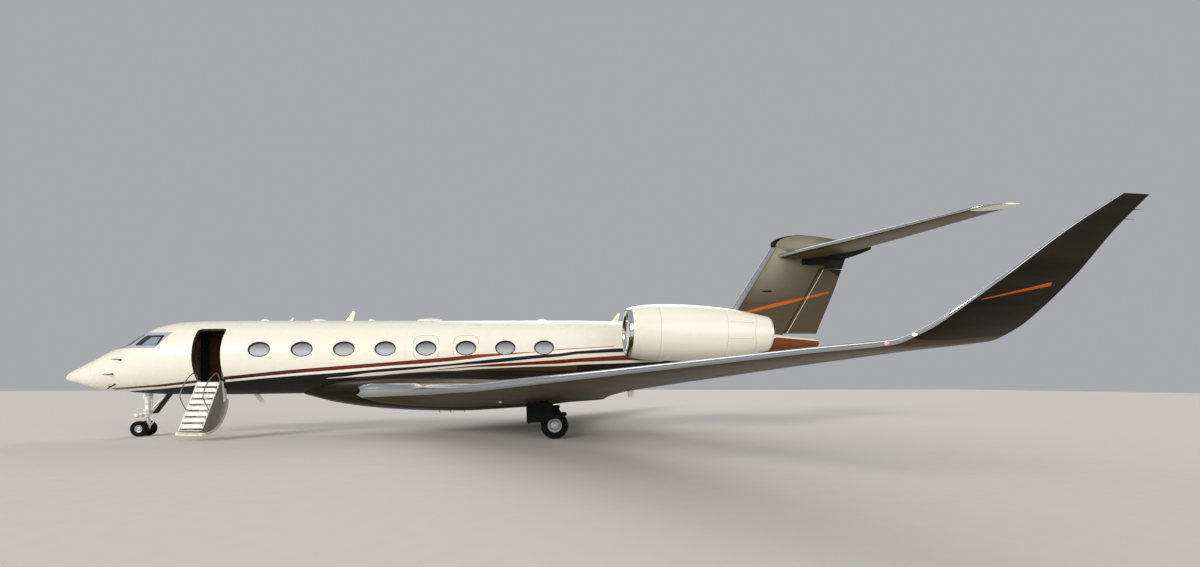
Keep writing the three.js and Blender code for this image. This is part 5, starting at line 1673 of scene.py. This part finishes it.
class JET_OT_interior(bpy.types.Operator):
    """Finishes of the cabin's floor, bulkhead, cabinet and panel, with trims seen through the doorway"""

    bl_idname = "jet.interior"
    bl_label = "Interior"

    def execute(self, context):
        for node, look in (("cabin_floor", "cabin_carpet"), ("cockpit_bulkhead", "cabin_wood"),
                           ("entry_cabinet", "cabin_wood"), ("instrument_panel", "black_trim")):
            for slot in frame["nodes"][node].material_slots:
                slot.material = materials(look)[0]
        low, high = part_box("entry_cabinet")
        trim = Form()
        face = low.y - 0.012
        for z0, z1 in ((low.z + 0.1, low.z + 0.75), (low.z + 0.8, low.z + 1.3)):
            for x0, x1 in ((low.x + 0.03, low.x + 0.3), (low.x + 0.33, high.x - 0.03)):
                corners = [(x0, face, z0), (x1, face, z0), (x1, face, z1), (x0, face, z1)]
                trim.slab(rounded(corners, 0.02, 4), (0, 0.013, 0), 0.004)
                handle = [(x0 + off, face - 0.01, z1 - 0.08) for off in (0.03, 0.1)]
                trim.bar(*handle, 0.006, 10, finish=1)
        trim.made("cabinet_doors", "wood_veneer", "cabin_wood polished_metal")
        level = FLOOR_HEIGHT + sit(5.4)
        chest = Form().box(row(4.8, 0.272, level + 0.09), row(5.1, 0.325, level + 0.56), 0.02, 0.008)
        chest.box(row(4.83, 0.266, level + 0.3), row(5.07, 0.28, level + 0.53), 0.02, 0.004, finish=1)
        chest.made("entry_bin", "stair_white", "gear_white frame_grey")
        edge = door_edge(-0.03)
        seal = Form().tube(hull_point(edge[:, 0], edge[:, 1], -0.1), 0.016, 12)
        seal.made("doorway_seal", "dark_panel", "black_trim")
        screen = Form().box(row(5.78, -1.0, level + 0.003), row(5.82, -0.35, level + 1.45), 0.01, 0.006)
        screen.box(row(5.775, -1.0, level + 0.1), row(5.83, -0.45, level + 0.95), 0.02, 0.006)
        screen.made("cabin_screen", "wood_veneer", "cabin_wood")
        return {"FINISHED"}


# Blades and domes along the crown: station, height, chord; station, length, height
MASTS = [(9.18, 0.36, 0.26), (19.0, 0.34, 0.26), (7.25, 0.12, 0.12)]
DOMES = [(12.2, 1.0, 0.1), (8.27, 0.55, 0.08), (6.43, 0.3, 0.08), (10.12, 0.24, 0.08), (16.35, 0.4, 0.09)]
# Probes on each side of the nose: station, level height, length
PROBES = [(2.42, 2.81, 0.22), (2.1, 2.345, 0.2), (2.0, 2.0, 0.15), (1.75, 1.93, 0.03)]


def blade(form, station, height, chord, tall, sweep, thick=0.09, down=False):
    """A blade antenna: symmetric sections stacked up from the skin, swept back and tapering."""
    way = np.linspace(0, 1, 9)[:, None]
    share, half = section(1.0, thick, 8)
    width = chord * (1 - (0.15 if down else 0.6) * way - 0.15 * way**6)
    x = station - HALF_LENGTH + sweep * way + share * width
    return form.grid(stack(x, half * width, height + (-1 if down else 1) * tall * way), caps=True)


def wick(form, start):
    """A static wick trailing from an edge."""
    step = np.array([size("wick") / 2, 0, 0])
    form.tube([start, start + step, start + 2 * step], [0.004, 0.003, 0.002], 6)


class JET_OT_fittings(bpy.types.Operator):
    """Antennas, probes, static wicks, drains, exit outlines, scoops and lamps"""

    bl_idname = "jet.fittings"
    bl_label = "Small fittings"

    def execute(self, context):
        self.antennas()
        self.probes()
        self.lamps()
        return {"FINISHED"}

    def antennas(self):
        """Blades above and below, and low domes along the crown: half ovals with a flat foot."""
        edge = lambda line, s: float(hull_lines(s)[line] + sit(s))
        masts = Form()
        for station, tall, chord in MASTS:
            blade(masts, station, edge(0, station + 0.1) - 0.02, chord, tall + 0.02, chord * 1.05)
        blade(masts, 6.02, edge(1, 6.1) + 0.02, 0.22, 0.32, 0.24, thick=0.12, down=True)
        blade(masts, 19.58, edge(1, 19.7) + 0.02, 0.3, 0.5, 0.12, down=True)
        angle, along = np.linspace(0, math.pi, 13), np.linspace(-1, 1, 15)[:, None]
        width = np.sqrt(np.clip(1 - along**2, 0, 1))
        ring = np.concatenate([angle, angle[-2:0:-1]])
        up = np.sin(ring) * np.where(np.arange(len(ring)) < len(angle), 1, -0.3)
        for station, long, tall in DOMES:
            x, z = station - HALF_LENGTH + along * long / 2, edge(0, station) - 0.012 + tall * width * up
            masts.grid(stack(x, 0.32 * long * width * np.cos(ring) * 0.5, z), caps=True)
        masts.made("antennas", "ivory_paint", "door_paint")

    def probes(self):
        """Air probes on their bases, static wicks, drains, exit outlines, fin scoops and lamp rings."""
        form = Form()
        for sign in SIDES.values():
            for station, height, reach in PROBES:
                base = hull_side(station, height, sign, -0.005)
                out = hull_side(station - 0.03, height, sign, 0.09)
                tip = out + (-reach, 0, 0)
                path = [base, (base + out) / 2, out + (-0.02, 0, 0), (out + tip) / 2, tip]
                form.tube(path, [0.022, 0.02, 0.019, 0.015, 0.009], 12)
                form.bar(base, hull_side(station, height, sign, 0.012), 0.035, 20)
            for y, lead, height, chord in wing_rows([15.062, 15.1])[:, :4]:
                wick(form, row(lead + chord * 0.98, sign * y, height))
            for y, lead, height, chord in stabilizer_rows(np.array([3.6, 4.4, 5.2]))[:, :4]:
                wick(form, row(lead + chord * 0.985, sign * y, height + chord * 0.05))
        for station in (12.6, 13.0, 13.5):
            keel = float(smooth(FAIRING, station)[0])
            drain = row(station, -0.4, keel) + stack((0, 0.02, 0.04), 0, (0.03, -0.03, -0.06))
            form.tube(drain, [0.012, 0.01, 0.008], 10)
        for sign in SIDES.values():
            for index in (4, 5):
                middle, low, high = WINDOW["first"] + index * WINDOW["pitch"], 2.72, 3.56
                front, back = middle - 0.43, middle + 0.43
                loop = rounded([(front, low), (back, low), (back, high), (front, high)], 0.28, 9)
                form.tube(hull_side(*np.concatenate([loop, loop[:1]]).T, sign, -0.002), 0.0045, 8)
            scoop = [row(25.0, sign * 0.17, 5.49), row(25.12, sign * 0.2, 5.5), row(25.4, sign * 0.215, 5.52)]
            form.tube(scoop, [0.012, 0.03, 0.034], 14)
            ring = [(-0.02, 0.1), (-0.028, 0.112), (0.0, 0.122), (0.1, 0.118)]
            form.turned(ring, row(9.97, sign * 1.34, 1.6), "x", 36)
        form.made("probes_and_wicks", "engine_metal", "dark_metal")

    def lamps(self):
        """Landing lamps in the wing roots, and navigation lamps, ovals along each wing's edge."""
        form = Form()
        angle, along = circle(20), np.linspace(-1, 1, 9)[:, None]
        width = np.sqrt(1 - 0.98 * along**2)
        for sign in SIDES.values():
            lens = [(-0.05, 0.01), (-0.042, 0.05), (-0.024, 0.09), (0.0, 0.1)]
            form.turned(lens, row(9.965, sign * 1.34, 1.6), "x", 36, finish=2)
            for look, (y, lead, height) in enumerate(wing_rows([14.06, 14.3])[:, :3]):
                x = lead - HALF_LENGTH + 0.03 + 0.026 * width * np.cos(angle)
                z = height + 0.02 * width * np.sin(angle)
                form.grid(stack(x, sign * (y + along * 0.06), z), caps=True, finish=look)
        form.made("wing_lamps", "stair_white", "lamp_red lamp_white lens_clear")


# Camera: place, turn to port, focal length and lift of the frame
CAMERA = {"place": (1.01, -20.45, 1.869), "turn": -0.115, "lens": 15.978, "lift": 0.0828, "reach": 400}
# Lights: place that each shines from, spread in degrees, strength
LIGHTS = {"key": ((-24, -30, 14), 20, 2.1), "fill": ((18, -30, 7), 50, 1.0), "rim": ((6, 30, 20), 40, 0.7)}
SKY, SKY_STRENGTH, LIGHT_COLOUR = (0.93, 0.95, 1.0, 1), 0.42, (1.0, 0.97, 0.93)


class JET_OT_stage(bpy.types.Operator):
    """Pale floor, soft studio light and the camera at the side of the aircraft"""

    bl_idname = "jet.stage"
    bl_label = "Studio and camera"

    def execute(self, context):
        scene = context.scene
        self.floor(scene)
        camera = bpy.data.cameras.new("camera")
        camera.sensor_width, camera.lens = 36.0, CAMERA["lens"]
        camera.shift_y, camera.clip_end = CAMERA["lift"], CAMERA["reach"]
        scene.camera = self.put(scene, "camera", camera, CAMERA["place"], (math.pi / 2, 0, CAMERA["turn"]))
        for name, (place, angle, power) in LIGHTS.items():
            light = bpy.data.lights.new(name, "SUN")
            light.angle, light.energy = math.radians(angle), power * scene.jet_stage.light
            light.color = LIGHT_COLOUR
            way = np.negative(place)
            down = math.pi - math.acos(way[2] / np.linalg.norm(way))
            self.put(scene, name, light, place, (down, 0, math.atan2(way[1], way[0]) - math.pi / 2))
        world = bpy.data.worlds.new("studio")
        scene.world = world
        world.use_nodes = True
        background = world.node_tree.nodes["Background"].inputs
        background["Color"].default_value, background["Strength"].default_value = SKY, SKY_STRENGTH
        scene.view_settings.view_transform = "Standard"
        return {"FINISHED"}

    def floor(self, scene):
        """A flat square with its middle below the aircraft's."""
        mesh = bpy.data.meshes.new("floor")
        corner = np.array([(-1, -1), (1, -1), (1, 1), (-1, 1)]) * scene.jet_stage.floor
        mesh.from_pydata([(x, y, 0) for x, y in corner.tolist()], [], [(0, 1, 2, 3)])
        mesh.materials.append(materials("studio_floor")[0])
        self.put(scene, "floor", mesh)

    def put(self, scene, name, data, place=(0, 0, 0), turn=(0, 0, 0)):
        """An object made of its data and put into the scene."""
        made = bpy.data.objects.new(name, data)
        made.location, made.rotation_euler = place, turn
        scene.collection.objects.link(made)
        return made


class JET_PT_sidebar(bpy.types.Panel):
    """Lists the operators in the order in which they build the aircraft"""

    bl_label = "Business jet"
    bl_idname = "JET_PT_sidebar"
    bl_space_type = "VIEW_3D"
    bl_region_type = "UI"
    bl_category = "Jet"

    def draw(self, context):
        for operator in OPERATORS:
            self.layout.operator(operator.bl_idname)
        for name, group in GROUPS.items():
            box = self.layout.box()
            for field in group.__annotations__:
                box.prop(getattr(context.scene, name), field)


OPERATORS = (
    JET_OT_stage, JET_OT_fuselage, JET_OT_glazing, JET_OT_interior, JET_OT_wings, JET_OT_tail, JET_OT_engines,
    JET_OT_main_gear, JET_OT_nose_gear, JET_OT_wheels, JET_OT_airstair, JET_OT_fittings,
)
GROUPS = {"jet_paint": JetPaint, "jet_sizes": JetSizes, "jet_stage": JetStage}
CLASSES = (*GROUPS.values(), *OPERATORS, JET_PT_sidebar)


def register():
    for kind in CLASSES:
        bpy.utils.register_class(kind)
    for name, group in GROUPS.items():
        setattr(bpy.types.Scene, name, bpy.props.PointerProperty(type=group))


def unregister():
    for name in GROUPS:
        delattr(bpy.types.Scene, name)
    for kind in reversed(CLASSES):
        bpy.utils.unregister_class(kind)


def main():
    """Builds everything in order."""
    register()
    for operator in OPERATORS:
        group, name = operator.bl_idname.split(".")
        getattr(getattr(bpy.ops, group), name)()


if __name__ == "__main__":
    main()
